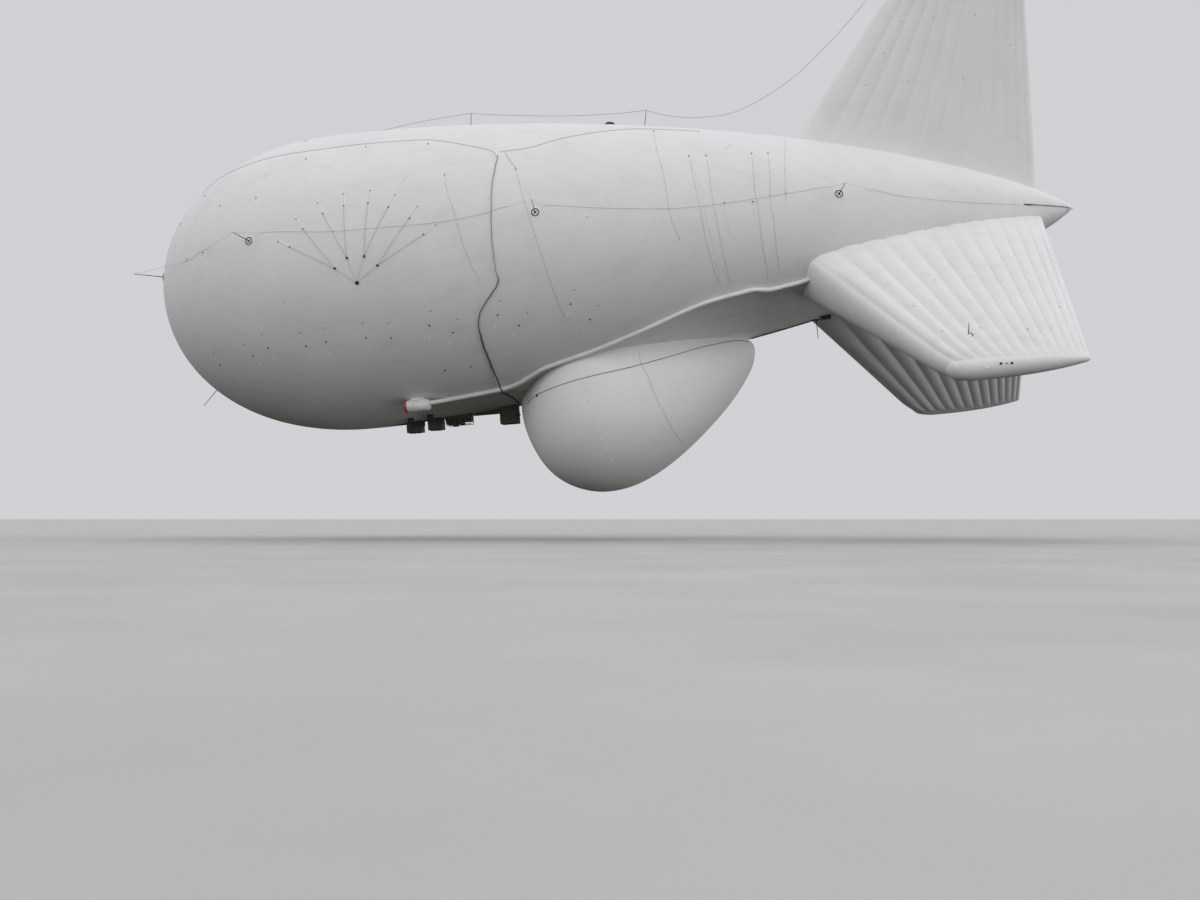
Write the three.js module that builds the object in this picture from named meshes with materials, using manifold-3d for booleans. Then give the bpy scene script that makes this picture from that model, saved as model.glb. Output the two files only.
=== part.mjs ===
// A tethered aerostat airship at half scale: a gas hull, three ribbed fins in an inverted Y,
// folded keel panels with a hanging radome, fin air ducts with their blowers, and keel equipment.
// Millimetres. +X runs from nose to tail, +Z is up, and port is the -Y side.
// The origin lies on the hull's axis at the centre of lift.
import * as THREE from 'three';
import { mergeVertices } from 'three/addons/utils/BufferGeometryUtils.js';
import Module from 'manifold-3d';

const wasm = await Module();
wasm.setup();

// Hull
const HULL_LENGTH = 37000;
const HULL_RADIUS = 6150;
const NOSE_TO_WIDEST = 8100;
const NOSE_TO_ORIGIN = 16000;
const NOSE_POWER = 2.14;
const TAIL_INNER_POWER = 1.8;
const TAIL_OUTER_POWER = 0.78;
const HULL_SIDES = 48;
const NOSE_STATIONS = 8;
const TAIL_STATIONS = 13;
const NOSE_HOLE_ANGLE = 4;
const FABRIC = 10;
const GAP = 0.3;

// Fins, seen flat: x is measured from the nose, reach from the hull's axis
const LOWER_FIN_ANGLE = 45;
const FIN_ROOT_FRONT = 26900;
const FIN_ROOT_REACH = 3910;
const FIN_TIP_FRONT = 30850;
const FIN_TIP_REACH = 9300;
const FIN_BACK = 35750;
const FIN_BACK_REACH = 900;
const FIN_ROOT_HALF = 990;
const FIN_TIP_HALF = 380;
const FIN_ROOT_RISE = 0.06;
const FIN_LOBES = 13;
const FIN_ROOT_NOSE = 460;
const FIN_TIP_NOSE = 320;
const FIN_NOSE_THICKNESS = 0.84;
const FIN_SWELL_PART = 0.14;
const FIN_LOBE_BULGE = 0.09;
const FIN_THIN_END = 0.15;
const FIN_THIN_POWER = 3;

// Radome
const RADOME_FRONT = 14925;
const RADOME_BACK = 24525;

// Ducts and blowers
const DUCT_RADIUS = 83;
const DUCT_BACK = 27100;
const BLOWER_RADIUS = 235;
const BLOWER_LENGTH = 900;
const BLOWER_WALL = 12;
const BLOWER_X = 10900;
const BLOWER_ANGLE = 25.5;
const BLOWER_LIFT = 262;

// Materials
const colours = {
  envelope_fabric: [0xd8d9db, 0.55, 0],
  duct_fabric: [0xe4e4e4, 0.6, 0],
  equipment_green: [0x2c3028, 0.6, 0.1],
  dark_metal: [0x303234, 0.5, 0.6],
  steel: [0x8c9094, 0.35, 0.9],
  red_rim: [0x7a2430, 0.5, 0],
  cable_black: [0x26272a, 0.7, 0],
};
const materials = {};
for (const [name, [color, roughness, metalness]] of Object.entries(colours)) {
  materials[name] = new THREE.MeshStandardMaterial({ color, roughness, metalness });
}

const degrees = (angle) => angle * Math.PI / 180;
const sides = [['port', 1], ['starboard', -1]];

// Solids: a closed three.js geometry becomes a solid, and a solid a named mesh
function solidFrom(geometry) {
  let shape = geometry.clone();
  shape.deleteAttribute('normal');
  shape.deleteAttribute('uv');
  shape = mergeVertices(shape, 1e-3);
  const place = shape.attributes.position.array;
  const corners = [];
  const index = shape.index.array;
  let volume = 0;
  for (let i = 0; i < index.length; i += 3) {
    const [a, b, c] = [index[i], index[i + 1], index[i + 2]];
    if (a === b || b === c || c === a) continue;
    corners.push(a, b, c);
    const p = new THREE.Vector3().fromArray(place, 3 * a);
    const q = new THREE.Vector3().fromArray(place, 3 * b);
    const r = new THREE.Vector3().fromArray(place, 3 * c);
    volume += p.dot(q.cross(r));
  }
  if (volume < 0) {
    for (let i = 0; i < corners.length; i += 3) {
      [corners[i], corners[i + 1]] = [corners[i + 1], corners[i]];
    }
  }
  return new wasm.Manifold(new wasm.Mesh({
    numProp: 3,
    vertProperties: new Float32Array(place),
    triVerts: new Uint32Array(corners),
  }));
}

function geometryFrom(solid) {
  const data = solid.getMesh();
  const geometry = new THREE.BufferGeometry();
  geometry.setAttribute('position', new THREE.BufferAttribute(new Float32Array(data.vertProperties), 3));
  geometry.setIndex(new THREE.BufferAttribute(new Uint32Array(data.triVerts), 1));
  geometry.computeVertexNormals();
  return geometry;
}

function named(name, solid, material) {
  const mesh = new THREE.Mesh(geometryFrom(solid), materials[material]);
  mesh.name = name;
  return mesh;
}

// A solid made upright about its own foot, then turned to stand along a direction
function placed(name, solid, material, foot, out) {
  const mesh = named(name, solid, material);
  mesh.position.copy(foot);
  mesh.quaternion.setFromUnitVectors(new THREE.Vector3(0, 1, 0), out);
  return mesh;
}

function volumeOf(solid) {
  return solid.volume ? solid.volume() : solid.getProperties().volume;
}

function largest(solid) {
  return solid.decompose().sort((a, b) => volumeOf(b) - volumeOf(a))[0];
}

function boxBetween(front, back, width, bottom, top) {
  const shape = new THREE.BoxGeometry(back - front, width, bottom - top);
  return solidFrom(shape.translate((front + back) / 2 - NOSE_TO_ORIGIN, 0, -(bottom + top) / 2));
}

// A grid of points that closes around each ring, with its first and last ring filled
function skinned(rings) {
  const count = rings[0].length;
  const points = [];
  const index = [];
  for (const ring of rings) {
    for (const point of ring) points.push(point.x, point.y, point.z);
  }
  for (let i = 0; i + 1 < rings.length; i += 1) {
    for (let j = 0; j < count; j += 1) {
      const a = i * count + j;
      const b = i * count + (j + 1) % count;
      index.push(a, b, a + count, b, b + count, a + count);
    }
  }
  const ends = [[rings[0], 0, false], [rings.at(-1), (rings.length - 1) * count, true]];
  for (const [ring, start, turn] of ends) {
    const middle = new THREE.Vector3();
    for (const point of ring) middle.addScaledVector(point, 1 / count);
    const hub = points.length / 3;
    points.push(middle.x, middle.y, middle.z);
    for (let j = 0; j < count; j += 1) {
      const a = start + j;
      const b = start + (j + 1) % count;
      if (turn) index.push(hub, a, b);
      else index.push(hub, b, a);
    }
  }
  const geometry = new THREE.BufferGeometry();
  geometry.setAttribute('position', new THREE.Float32BufferAttribute(points, 3));
  geometry.setIndex(index);
  return geometry;
}

function lathe(points, count) {
  return new THREE.LatheGeometry(points, count).rotateZ(-Math.PI / 2);
}

// A turned shape standing on a foot: profile points are radius and height
function standing(profile, count, foot, out) {
  const shape = new THREE.LatheGeometry(profile.map(([r, h]) => new THREE.Vector2(r, h)), count);
  const turn = new THREE.Quaternion().setFromUnitVectors(new THREE.Vector3(0, 1, 0), out);
  return solidFrom(shape.applyQuaternion(turn).translate(foot.x, foot.y, foot.z));
}

function tubeAlong(points, radius, count, steps) {
  const section = new THREE.Shape();
  for (let i = 0; i < count; i += 1) {
    const turn = 2 * Math.PI * i / count;
    const spot = [radius * Math.cos(turn), radius * Math.sin(turn)];
    if (i === 0) section.moveTo(...spot);
    else section.lineTo(...spot);
  }
  section.closePath();
  const path = new THREE.CatmullRomCurve3(points, false, 'centripetal');
  return new THREE.ExtrudeGeometry(section, { steps, bevelEnabled: false, extrudePath: path });
}

// A smooth value between the rows of a short table, read by its first column
function between(table, column, at) {
  const last = table.length - 1;
  if (at <= table[0][0]) return table[0][column];
  if (at >= table[last][0]) return table[last][column];
  let i = 0;
  while (table[i + 1][0] < at) i += 1;
  const slope = (k) => {
    const low = Math.max(k - 1, 0);
    const high = Math.min(k + 1, last);
    return (table[high][column] - table[low][column]) / (table[high][0] - table[low][0]);
  };
  const width = table[i + 1][0] - table[i][0];
  const t = (at - table[i][0]) / width;
  const [p, q] = [table[i][column], table[i + 1][column]];
  const [m, n] = [slope(i) * width, slope(i + 1) * width];
  return p + m * t + (3 * (q - p) - 2 * m - n) * t * t + (2 * (p - q) + m + n) * t * t * t;
}

// Hull shape: x is measured from the nose tip along the axis
function hullRadius(x) {
  if (x <= 0 || x >= HULL_LENGTH) return 0;
  if (x < NOSE_TO_WIDEST) {
    const ahead = (NOSE_TO_WIDEST - x) / NOSE_TO_WIDEST;
    return HULL_RADIUS * (1 - ahead ** NOSE_POWER) ** (1 / NOSE_POWER);
  }
  const behind = (x - NOSE_TO_WIDEST) / (HULL_LENGTH - NOSE_TO_WIDEST);
  return HULL_RADIUS * (1 - behind ** TAIL_INNER_POWER) ** TAIL_OUTER_POWER;
}

function hullSlope(x) {
  const step = 5;
  return (hullRadius(x + step) - hullRadius(x - step)) / (2 * step);
}

// The way out from the hull at an angle turned from straight down towards port
function hullNormal(x, angle) {
  const turn = degrees(angle);
  return new THREE.Vector3(-hullSlope(x), -Math.sin(turn), -Math.cos(turn)).normalize();
}

function hullPoint(x, angle, lift = 0) {
  const r = hullRadius(x);
  const turn = degrees(angle);
  const foot = new THREE.Vector3(x - NOSE_TO_ORIGIN, -r * Math.sin(turn), -r * Math.cos(turn));
  return foot.addScaledVector(hullNormal(x, angle), lift);
}

// Stations of the hull from the nose hole to the tail, moved out by an offset
function hullProfile(offset) {
  const stations = [];
  for (let i = 0; i <= NOSE_STATIONS; i += 1) {
    const turn = degrees(NOSE_HOLE_ANGLE + (90 - NOSE_HOLE_ANGLE) * i / NOSE_STATIONS);
    stations.push(NOSE_TO_WIDEST * (1 - Math.cos(turn) ** (2 / NOSE_POWER)));
  }
  for (let i = 1; i < TAIL_STATIONS; i += 1) {
    const part = i / TAIL_STATIONS;
    const crowded = part + 0.12 * Math.sin(Math.PI * part);
    stations.push(NOSE_TO_WIDEST + (HULL_LENGTH - NOSE_TO_WIDEST) * crowded);
  }
  const points = stations.map((x) => {
    const slope = hullSlope(x);
    const length = Math.hypot(1, slope);
    const along = x - NOSE_TO_ORIGIN - offset * slope / length;
    return new THREE.Vector2(hullRadius(x) + offset / length, along);
  });
  points.push(new THREE.Vector2(0, HULL_LENGTH - NOSE_TO_ORIGIN + 1.6 * offset));
  return points;
}

// The filled hull, grown by an offset
function hullBlock(offset) {
  const points = hullProfile(offset);
  points.unshift(new THREE.Vector2(0, points[0].y));
  return solidFrom(lathe(points, HULL_SIDES));
}

// Keel: flat panels fold down from each duct line to the middle, cutting across the round hull
// x from the nose, angle of the duct line from straight down, depth of the fold over hull radius
const keelRows = [
  [9300, 3, 1],
  [10700, 21.8, 0.997],
  [11400, 22.1, 0.996],
  [13000, 22.9, 0.994],
  [14900, 24.1, 0.992],
  [15300, 24.9, 0.987],
  [16500, 31.3, 0.97],
  [18600, 38.2, 0.945],
  [20500, 43.5, 0.92],
  [22800, 50.4, 0.897],
  [24300, 52.2, 0.895],
  [24900, 52.3, 0.895],
  [25350, 50.7, 0.896],
  [26700, 51.3, 0.897],
  [27500, 50, 0.9],
  [28300, 20, 0.97],
  [28600, 5, 1],
];
const KEEL_FRONT = keelRows[0][0];
const KEEL_BACK = keelRows.at(-1)[0];
const KEEL_SPLIT = 16200;
const KEEL_STEPS = 24;
const KEEL_REACH = 1.3;

function keelHalf(x) {
  return hullRadius(x) * Math.sin(degrees(between(keelRows, 1, x)));
}

// Depth of the keel panels' outer face under the hull's axis
function keelDepth(x, y) {
  const shallow = hullRadius(x) * Math.cos(degrees(between(keelRows, 1, x)));
  const deep = hullRadius(x) * between(keelRows, 2, x);
  return deep - (deep - shallow) * Math.abs(y) / keelHalf(x);
}

function keelNormal(x, y) {
  const step = 50;
  const across = (keelDepth(x, y + step) - keelDepth(x, y - step)) / (2 * step);
  const along = (keelDepth(x + step, y) - keelDepth(x - step, y)) / (2 * step);
  return new THREE.Vector3(-along, -across, -1).normalize();
}

function keelPoint(x, y, lift = 0) {
  const foot = new THREE.Vector3(x - NOSE_TO_ORIGIN, y, -keelDepth(x, y));
  return foot.addScaledVector(keelNormal(x, y), lift);
}

// All that lies below the keel panels, starting an inset above their outer face
function keelCut(inset) {
  const rings = [];
  const low = -KEEL_REACH * HULL_RADIUS;
  for (let i = 0; i <= KEEL_STEPS; i += 1) {
    const x = KEEL_FRONT + (KEEL_BACK - KEEL_FRONT) * i / KEEL_STEPS;
    const wide = KEEL_REACH * keelHalf(x) + inset;
    const ring = [[0, inset - keelDepth(x, 0)], [wide, inset - keelDepth(x, wide)], [wide, low], [0, low]];
    rings.push(ring.map(([y, z]) => new THREE.Vector3(x - NOSE_TO_ORIGIN, y, z)));
  }
  const starboard = solidFrom(skinned(rings));
  return starboard.add(starboard.mirror([0, 1, 0]));
}

// The gas envelope: one wall of fabric, open at its filling hole behind the nose plate
function envelopeSolid() {
  const inside = hullProfile(-FABRIC);
  const ahead = -NOSE_TO_ORIGIN - 100;
  inside.unshift(new THREE.Vector2(0, ahead), new THREE.Vector2(inside[0].x, ahead));
  const hollow = solidFrom(lathe(inside, HULL_SIDES)).subtract(keelCut(2 * FABRIC + GAP));
  return hullBlock(0).subtract(keelCut(FABRIC + GAP)).subtract(hollow);
}

// Fins: a half section of round nose, lobes and thin trailing edge, lofted from root to tip
const lobeEnds = [0];
for (let i = 0; i < FIN_LOBES; i += 1) {
  const width = 1 - 0.6 * (i / (FIN_LOBES - 1)) ** 2;
  lobeEnds.push(lobeEnds[i] + width);
}

// Places along the chord: turn round the nose, or share of the chord behind it and bulge between ribs
function chordStations() {
  const stations = [];
  for (const turn of [0, 30, 60]) stations.push({ turn });
  for (let i = 0; i < FIN_LOBES; i += 1) {
    const [low, high] = [lobeEnds[i] / lobeEnds.at(-1), lobeEnds[i + 1] / lobeEnds.at(-1)];
    stations.push({ part: low, bulge: 0 });
    stations.push({ part: (low + high) / 2, bulge: high - low });
  }
  stations.push({ part: 1, bulge: 0 });
  return stations;
}

// One end of a fin: where its chord starts and ends, and its half thickness and depth of nose
const finRoot = {
  front: FIN_ROOT_FRONT,
  back: FIN_BACK,
  reachFront: FIN_ROOT_REACH,
  reachBack: FIN_BACK_REACH,
  half: FIN_ROOT_HALF,
  nose: FIN_ROOT_NOSE,
};
const finTip = (sweep, wall) => ({
  front: FIN_TIP_FRONT,
  back: FIN_BACK + sweep,
  reachFront: FIN_TIP_REACH - wall,
  reachBack: FIN_TIP_REACH - wall,
  half: FIN_TIP_HALF,
  nose: FIN_TIP_NOSE,
});

function finSection({ front, back, reachFront, reachBack, half, nose }, wall) {
  return chordStations().map((station) => {
    if (station.turn !== undefined) {
      const turn = degrees(station.turn);
      const x = front + wall + (nose - wall) * (1 - Math.cos(turn));
      return { x, reach: reachFront, half: (FIN_NOSE_THICKNESS * half - wall) * Math.sin(turn) };
    }
    const { part } = station;
    const x = front + nose + (back - wall - front - nose) * part;
    const reach = reachFront + (reachBack - reachFront) * part;
    const swell = (1 - FIN_NOSE_THICKNESS) * Math.min(1, part / FIN_SWELL_PART) ** 0.6;
    const thin = 1 - (1 - FIN_THIN_END) * part ** FIN_THIN_POWER;
    const bulge = FIN_LOBE_BULGE * station.bulge * (back - front);
    return { x, reach, half: half * (FIN_NOSE_THICKNESS + swell) * thin + bulge - wall };
  });
}

// The share along a rib, below zero, at which it is well inside the hull
function buriedShare(low, high) {
  const buried = 0.45 * hullRadius(Math.min(low.x, HULL_LENGTH - 200));
  return (buried - low.reach) / (high.reach - low.reach);
}

// The lower pair's roots sit higher on the hull than the plane of their tips
function finSolid([, angle, rise, sweep], wall) {
  const root = finSection(finRoot, wall);
  const tip = finSection(finTip(sweep, wall), wall);
  const rings = [];
  const addRing = (share, round) => {
    const right = [];
    const left = [];
    root.forEach((low, i) => {
      const high = tip[i];
      const part = share < 0 ? buriedShare(low, high) : share;
      const half = low.half + (high.half - low.half) * part;
      const x = low.x + (high.x - low.x) * part - NOSE_TO_ORIGIN;
      const reach = low.reach + (high.reach - low.reach) * part + half * Math.sin(round);
      const middle = rise * FIN_ROOT_RISE * low.reach * (1 - Math.max(part, 0));
      right.push(new THREE.Vector3(x, middle - half * Math.cos(round), reach));
      left.push(new THREE.Vector3(x, middle + half * Math.cos(round), reach));
    });
    left.shift();
    rings.push([...right, ...left.reverse()]);
  };
  addRing(-1, 0);
  for (const share of [0, 0.5, 1]) addRing(share, 0);
  for (const round of [40, 80]) addRing(1, degrees(round));
  const axis = new THREE.Vector3(1, 0, 0);
  for (const ring of rings) {
    for (const point of ring) point.applyAxisAngle(axis, degrees(angle));
  }
  return solidFrom(skinned(rings));
}

// Radome sections: share of the way back, half width at the panels, widest half width, depth
const radomeRows = [
  [0.02, 350, 380, 6300],
  [0.1, 850, 900, 7220],
  [0.2, 2010, 2060, 8520],
  [0.3, 2960, 3000, 9310],
  [0.4, 3150, 3200, 9600],
  [0.5, 2640, 2810, 9270],
  [0.6, 1900, 2280, 8390],
  [0.7, 1120, 1700, 7250],
  [0.8, 600, 1130, 6150],
  [0.9, 320, 630, 5130],
  [0.98, 180, 260, 4550],
];

function radomeSolid(wall) {
  const rings = [];
  const steps = 14;
  const around = 12;
  const [first, last] = [radomeRows[0][0], radomeRows.at(-1)[0]];
  for (let i = 0; i <= steps; i += 1) {
    const share = first + (last - first) * i / steps;
    const travel = (1 - Math.cos(Math.PI * share)) / 2;
    const x = RADOME_FRONT + wall + (RADOME_BACK - RADOME_FRONT - 2 * wall) * travel;
    const half = between(radomeRows, 1, share) - wall;
    const widest = between(radomeRows, 2, share) - wall;
    const bottom = between(radomeRows, 3, share) - wall;
    const seam = keelDepth(x, half);
    const tuck = Math.acos(half / widest);
    const middle = (seam + bottom * Math.sin(tuck)) / (1 + Math.sin(tuck));
    const spots = [];
    for (let j = 0; j <= around; j += 1) {
      const turn = -tuck + (Math.PI + 2 * tuck) * j / around;
      spots.push([widest * Math.cos(turn), -middle - (bottom - middle) * Math.sin(turn)]);
    }
    spots.push([-half, -0.6 * seam], [half, -0.6 * seam]);
    rings.push(spots.map(([y, z]) => new THREE.Vector3(x - NOSE_TO_ORIGIN, y, z)));
  }
  return solidFrom(skinned(rings));
}

// Ducts run from each blower along the keel panels' upper edge to the lower fin on that side
const DUCT_FRONT = BLOWER_X + BLOWER_LENGTH + GAP;
const DUCT_START_LIFT = BLOWER_LIFT - 90;
const DUCT_POINTS = 26;

function ductSolid(side, radius) {
  const start = hullPoint(BLOWER_X, side * BLOWER_ANGLE, DUCT_START_LIFT);
  start.x = DUCT_FRONT - NOSE_TO_ORIGIN;
  const points = [start, start.clone().add(new THREE.Vector3(2 * DUCT_RADIUS, 0, 0))];
  for (let i = 1; i <= DUCT_POINTS; i += 1) {
    const x = DUCT_FRONT + (DUCT_BACK - DUCT_FRONT) * i / DUCT_POINTS;
    const edge = between(keelRows, 1, x) + THREE.MathUtils.radToDeg(DUCT_RADIUS / hullRadius(x));
    points.push(hullPoint(x, side * edge, DUCT_RADIUS * 0.8));
  }
  return solidFrom(tubeAlong(points, radius, 8, 40));
}

// A lightning rod: a ring on a round foot plate, with the rod standing in its middle
const ROD_RADIUS = 12;
const RING_RADIUS = 140;
const RING_WALL = 24;
const RING_HEIGHT = 26;
const PLATE_HEIGHT = 10;
const ROD_BURIED = 60;

function rodSolid(foot, out, length) {
  return standing([
    [0, -ROD_BURIED],
    [RING_RADIUS, -ROD_BURIED],
    [RING_RADIUS, RING_HEIGHT],
    [RING_RADIUS - RING_WALL, RING_HEIGHT],
    [RING_RADIUS - RING_WALL, PLATE_HEIGHT],
    [ROD_RADIUS, PLATE_HEIGHT],
    [ROD_RADIUS, length],
    [0, length],
  ], 8, foot, out);
}

// name, x from the nose, angle from straight down towards port, length
const hullRods = [
  ['rod_nose_port', 730, 101, 1150],
  ['rod_nose_starboard', 730, -101, 1150],
  ['rod_nose_lower', 1550, 0, 1050],
  ['rod_side_front_port', 6090, 96.7, 1000],
  ['rod_side_front_starboard', 6090, -96.7, 1000],
  ['rod_side_middle_port', 17110, 96.9, 1200],
  ['rod_side_middle_starboard', 17110, -96.9, 1200],
  ['rod_side_rear_port', 28140, 100.6, 850],
  ['rod_side_rear_starboard', 28140, -100.6, 850],
  ['rod_top_front', 13420, 180, 850],
  ['rod_top_rear', 20730, 180, 950],
];

// Keel equipment: name, front and back from the nose, width, depth below the keel's fold
const keelBoxes = [
  ['power_box_front', 9950, 10580, 500, 430],
  ['power_box_rear', 10870, 11470, 500, 440],
  ['telemetry_rack', 11640, 12740, 420, 420],
  ['cable_tray', 12840, 13930, 160, 110],
  ['control_box', 13970, 14690, 560, 680],
  ['keel_fitting', 27200, 27600, 300, 90],
];

function boxSolid([, front, back, width, depth]) {
  const bottom = keelDepth((front + back) / 2, 0) + depth;
  return boxBetween(front, back, width, bottom, 0.8 * hullRadius(back));
}

// A fan turning in a housing: hub and blades, height measured along the axis
function fanSolid(hubRadius, tipRadius, low, high, blades) {
  const hub = new THREE.LatheGeometry([
    new THREE.Vector2(0, low),
    new THREE.Vector2(hubRadius, low),
    new THREE.Vector2(hubRadius, high),
    new THREE.Vector2(0, high + 0.4 * hubRadius),
  ], 12);
  let fan = solidFrom(hub);
  const depth = high - low;
  const bladeLength = tipRadius - 0.5 * hubRadius;
  const bladeMiddle = (tipRadius + 0.5 * hubRadius) / 2;
  for (let i = 0; i < blades; i += 1) {
    const blade = new THREE.BoxGeometry(bladeLength, 0.08 * depth, 0.75 * depth);
    blade.rotateX(degrees(35)).translate(bladeMiddle, (low + high) / 2, 0);
    fan = fan.add(solidFrom(blade.rotateY(2 * Math.PI * i / blades)));
  }
  return fan;
}

// Build the parts
const group = new THREE.Group();
const hull = new THREE.Group();
const tail = new THREE.Group();
const keel = new THREE.Group();
group.add(hull, tail, keel);

hull.add(named('envelope', envelopeSolid(), 'envelope_fabric'));

// What lies on the round hull is cut to it, and under the hull to its keel panels
const hullSeat = hullBlock(GAP);
const keelSeat = hullSeat.subtract(keelCut(-GAP));
const bareSeat = hullSeat.subtract(keelCut(FABRIC));

// Nose plate over the hull's filling hole
const PLATE_RADIUS = 620;
const nosePlate = lathe([
  new THREE.Vector2(0, -130),
  new THREE.Vector2(180, -130),
  new THREE.Vector2(200, -40),
  new THREE.Vector2(PLATE_RADIUS, 30),
  new THREE.Vector2(PLATE_RADIUS, 400),
  new THREE.Vector2(0, 400),
], 24).translate(-NOSE_TO_ORIGIN, 0, 0);
hull.add(named('nose_plate', solidFrom(nosePlate).subtract(hullSeat), 'steel'));

// name, turn from straight up, side to which the root is shifted, sweep of the trailing edge at the tip
const fins = [
  ['fin_top', 0, 0, 290],
  ['fin_lower_port', 180 - LOWER_FIN_ANGLE, 1, -150],
  ['fin_lower_starboard', 180 + LOWER_FIN_ANGLE, -1, -150],
];
const finSeats = fins.map((fin) => finSolid(fin, -GAP));
for (const fin of fins) {
  const shell = finSolid(fin, 0).subtract(finSolid(fin, FABRIC)).subtract(keelSeat);
  tail.add(named(fin[0], largest(shell), 'envelope_fabric'));
}

const radomeSeat = radomeSolid(-GAP);
const radomeShell = radomeSolid(0).subtract(radomeSolid(FABRIC)).subtract(bareSeat);
keel.add(named('radome', radomeShell, 'envelope_fabric'));

// The panels end where the radome hangs through them
const panels = keelCut(FABRIC).subtract(keelCut(0)).intersect(hullBlock(0)).subtract(radomeSeat);
// name, front and back from the nose
const fairings = [
  ['keel_fairing_front', KEEL_FRONT + GAP, KEEL_SPLIT],
  ['keel_fairing_rear', KEEL_SPLIT + GAP, KEEL_BACK - GAP],
];
for (const [name, front, back] of fairings) {
  const part = panels.intersect(boxBetween(front, back, 2 * HULL_RADIUS, HULL_RADIUS, 0));
  keel.add(named(name, largest(part), 'envelope_fabric'));
}

for (const [name, side] of sides) {
  let duct = ductSolid(side, DUCT_RADIUS).subtract(keelSeat).subtract(radomeSeat);
  for (const seat of finSeats) duct = duct.subtract(seat);
  keel.add(named(`duct_${name}`, largest(duct), 'duct_fabric'));
}

// Fin blowers: a housing on a saddle, its motor inside, a red intake rim and the fan
const MOTOR_RADIUS = 75;
const BLOWER_NECK = 195;
const BLOWER_THROAT = 130;
const BLOWER_FLOOR = 340;
const MOTOR_TOP = 600;
const RIM_DEPTH = 60;
const FAN_DEPTH = 130;
const SADDLE = [560, 240, 240];
const SADDLE_DROP = 170;
const forward = new THREE.Vector3(-1, 0, 0);
const inside = BLOWER_RADIUS - BLOWER_WALL;
for (const [name, side] of sides) {
  const foot = hullPoint(BLOWER_X, side * BLOWER_ANGLE, BLOWER_LIFT);
  foot.x = BLOWER_X + BLOWER_LENGTH - NOSE_TO_ORIGIN;
  const body = standing([
    [0, 0],
    [BLOWER_NECK, 0],
    [BLOWER_RADIUS, BLOWER_THROAT],
    [BLOWER_RADIUS, BLOWER_LENGTH],
    [0, BLOWER_LENGTH],
  ], 24, foot, forward);
  const hollow = standing([
    [MOTOR_RADIUS, BLOWER_FLOOR],
    [inside, BLOWER_FLOOR],
    [inside, BLOWER_LENGTH + RIM_DEPTH],
    [0, BLOWER_LENGTH + RIM_DEPTH],
    [0, MOTOR_TOP],
    [MOTOR_RADIUS, MOTOR_TOP],
    [MOTOR_RADIUS, BLOWER_FLOOR],
  ], 24, foot, forward);
  const down = hullNormal(BLOWER_X, side * BLOWER_ANGLE).negate();
  const saddle = new THREE.BoxGeometry(...SADDLE);
  saddle.applyQuaternion(new THREE.Quaternion().setFromUnitVectors(new THREE.Vector3(0, 1, 0), down));
  const seatPoint = foot.clone().addScaledVector(down, SADDLE_DROP);
  saddle.translate(seatPoint.x - 0.55 * BLOWER_LENGTH, seatPoint.y, seatPoint.z);
  const housing = body.add(solidFrom(saddle)).subtract(keelSeat).subtract(hollow);
  keel.add(named(`blower_housing_${name}`, housing, 'duct_fabric'));
  const rim = standing([
    [inside, BLOWER_LENGTH + GAP],
    [BLOWER_RADIUS + BLOWER_WALL, BLOWER_LENGTH + GAP],
    [BLOWER_RADIUS + BLOWER_WALL, BLOWER_LENGTH + RIM_DEPTH],
    [inside, BLOWER_LENGTH + RIM_DEPTH],
    [inside, BLOWER_LENGTH + GAP],
  ], 24, foot, forward);
  keel.add(named(`blower_rim_${name}`, rim.subtract(keelSeat), 'red_rim'));
  const fan = fanSolid(0.8 * MOTOR_RADIUS, inside - 25, MOTOR_TOP + GAP, MOTOR_TOP + FAN_DEPTH, 6);
  keel.add(placed(`blower_fan_${name}`, fan, 'dark_metal', foot, forward));
}

// Ballonet blowers on the keel panels: open cans just below the round hull's depth, each with
// its fan on a stub
const CAN_RADIUS = 120;
const CAN_BURIED = 300;
const CAN_FLOOR = 15;
const CAN_HEIGHT = 115;
const CAN_Y = 750;
const STUB_RADIUS = 20;
const STUB_HEIGHT = 10;
const CAN_FAN_DEPTH = 45;
const straightDown = new THREE.Vector3(0, 0, -1);
// place along the hull, x from the nose
const cans = [['front', 10320], ['rear', 11160]];
for (const [place, x] of cans) {
  for (const [name, side] of sides) {
    const round = Math.sqrt(hullRadius(x) ** 2 - CAN_Y ** 2);
    const foot = new THREE.Vector3(x - NOSE_TO_ORIGIN, -side * CAN_Y, -round);
    const can = standing([
      [0, -CAN_BURIED],
      [CAN_RADIUS, -CAN_BURIED],
      [CAN_RADIUS, CAN_HEIGHT],
      [CAN_RADIUS - BLOWER_WALL, CAN_HEIGHT],
      [CAN_RADIUS - BLOWER_WALL, CAN_FLOOR],
      [STUB_RADIUS, CAN_FLOOR],
      [STUB_RADIUS, CAN_FLOOR + STUB_HEIGHT],
      [0, CAN_FLOOR + STUB_HEIGHT],
    ], 16, foot, straightDown);
    keel.add(named(`ballonet_blower_${place}_${name}`, can.subtract(keelSeat), 'dark_metal'));
    const low = CAN_FLOOR + STUB_HEIGHT + GAP;
    const tip = CAN_RADIUS - 2 * BLOWER_WALL;
    const fan = fanSolid(0.9 * STUB_RADIUS, tip, low, low + CAN_FAN_DEPTH, 5);
    keel.add(placed(`ballonet_fan_${place}_${name}`, fan, 'steel', foot, straightDown));
  }
}

for (const row of keelBoxes) {
  keel.add(named(row[0], boxSolid(row).subtract(keelSeat), 'equipment_green'));
}

// The radar payload inside the radome is one plain block on its mounting column
const RADAR_X = 18700;
const radar = boxBetween(RADAR_X - 1150, RADAR_X + 1150, 700, 7550, 6250);
const column = boxBetween(RADAR_X - 150, RADAR_X + 150, 300, 6900, 4700);
keel.add(named('radar_block', radar.add(column).subtract(bareSeat), 'dark_metal'));

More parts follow.
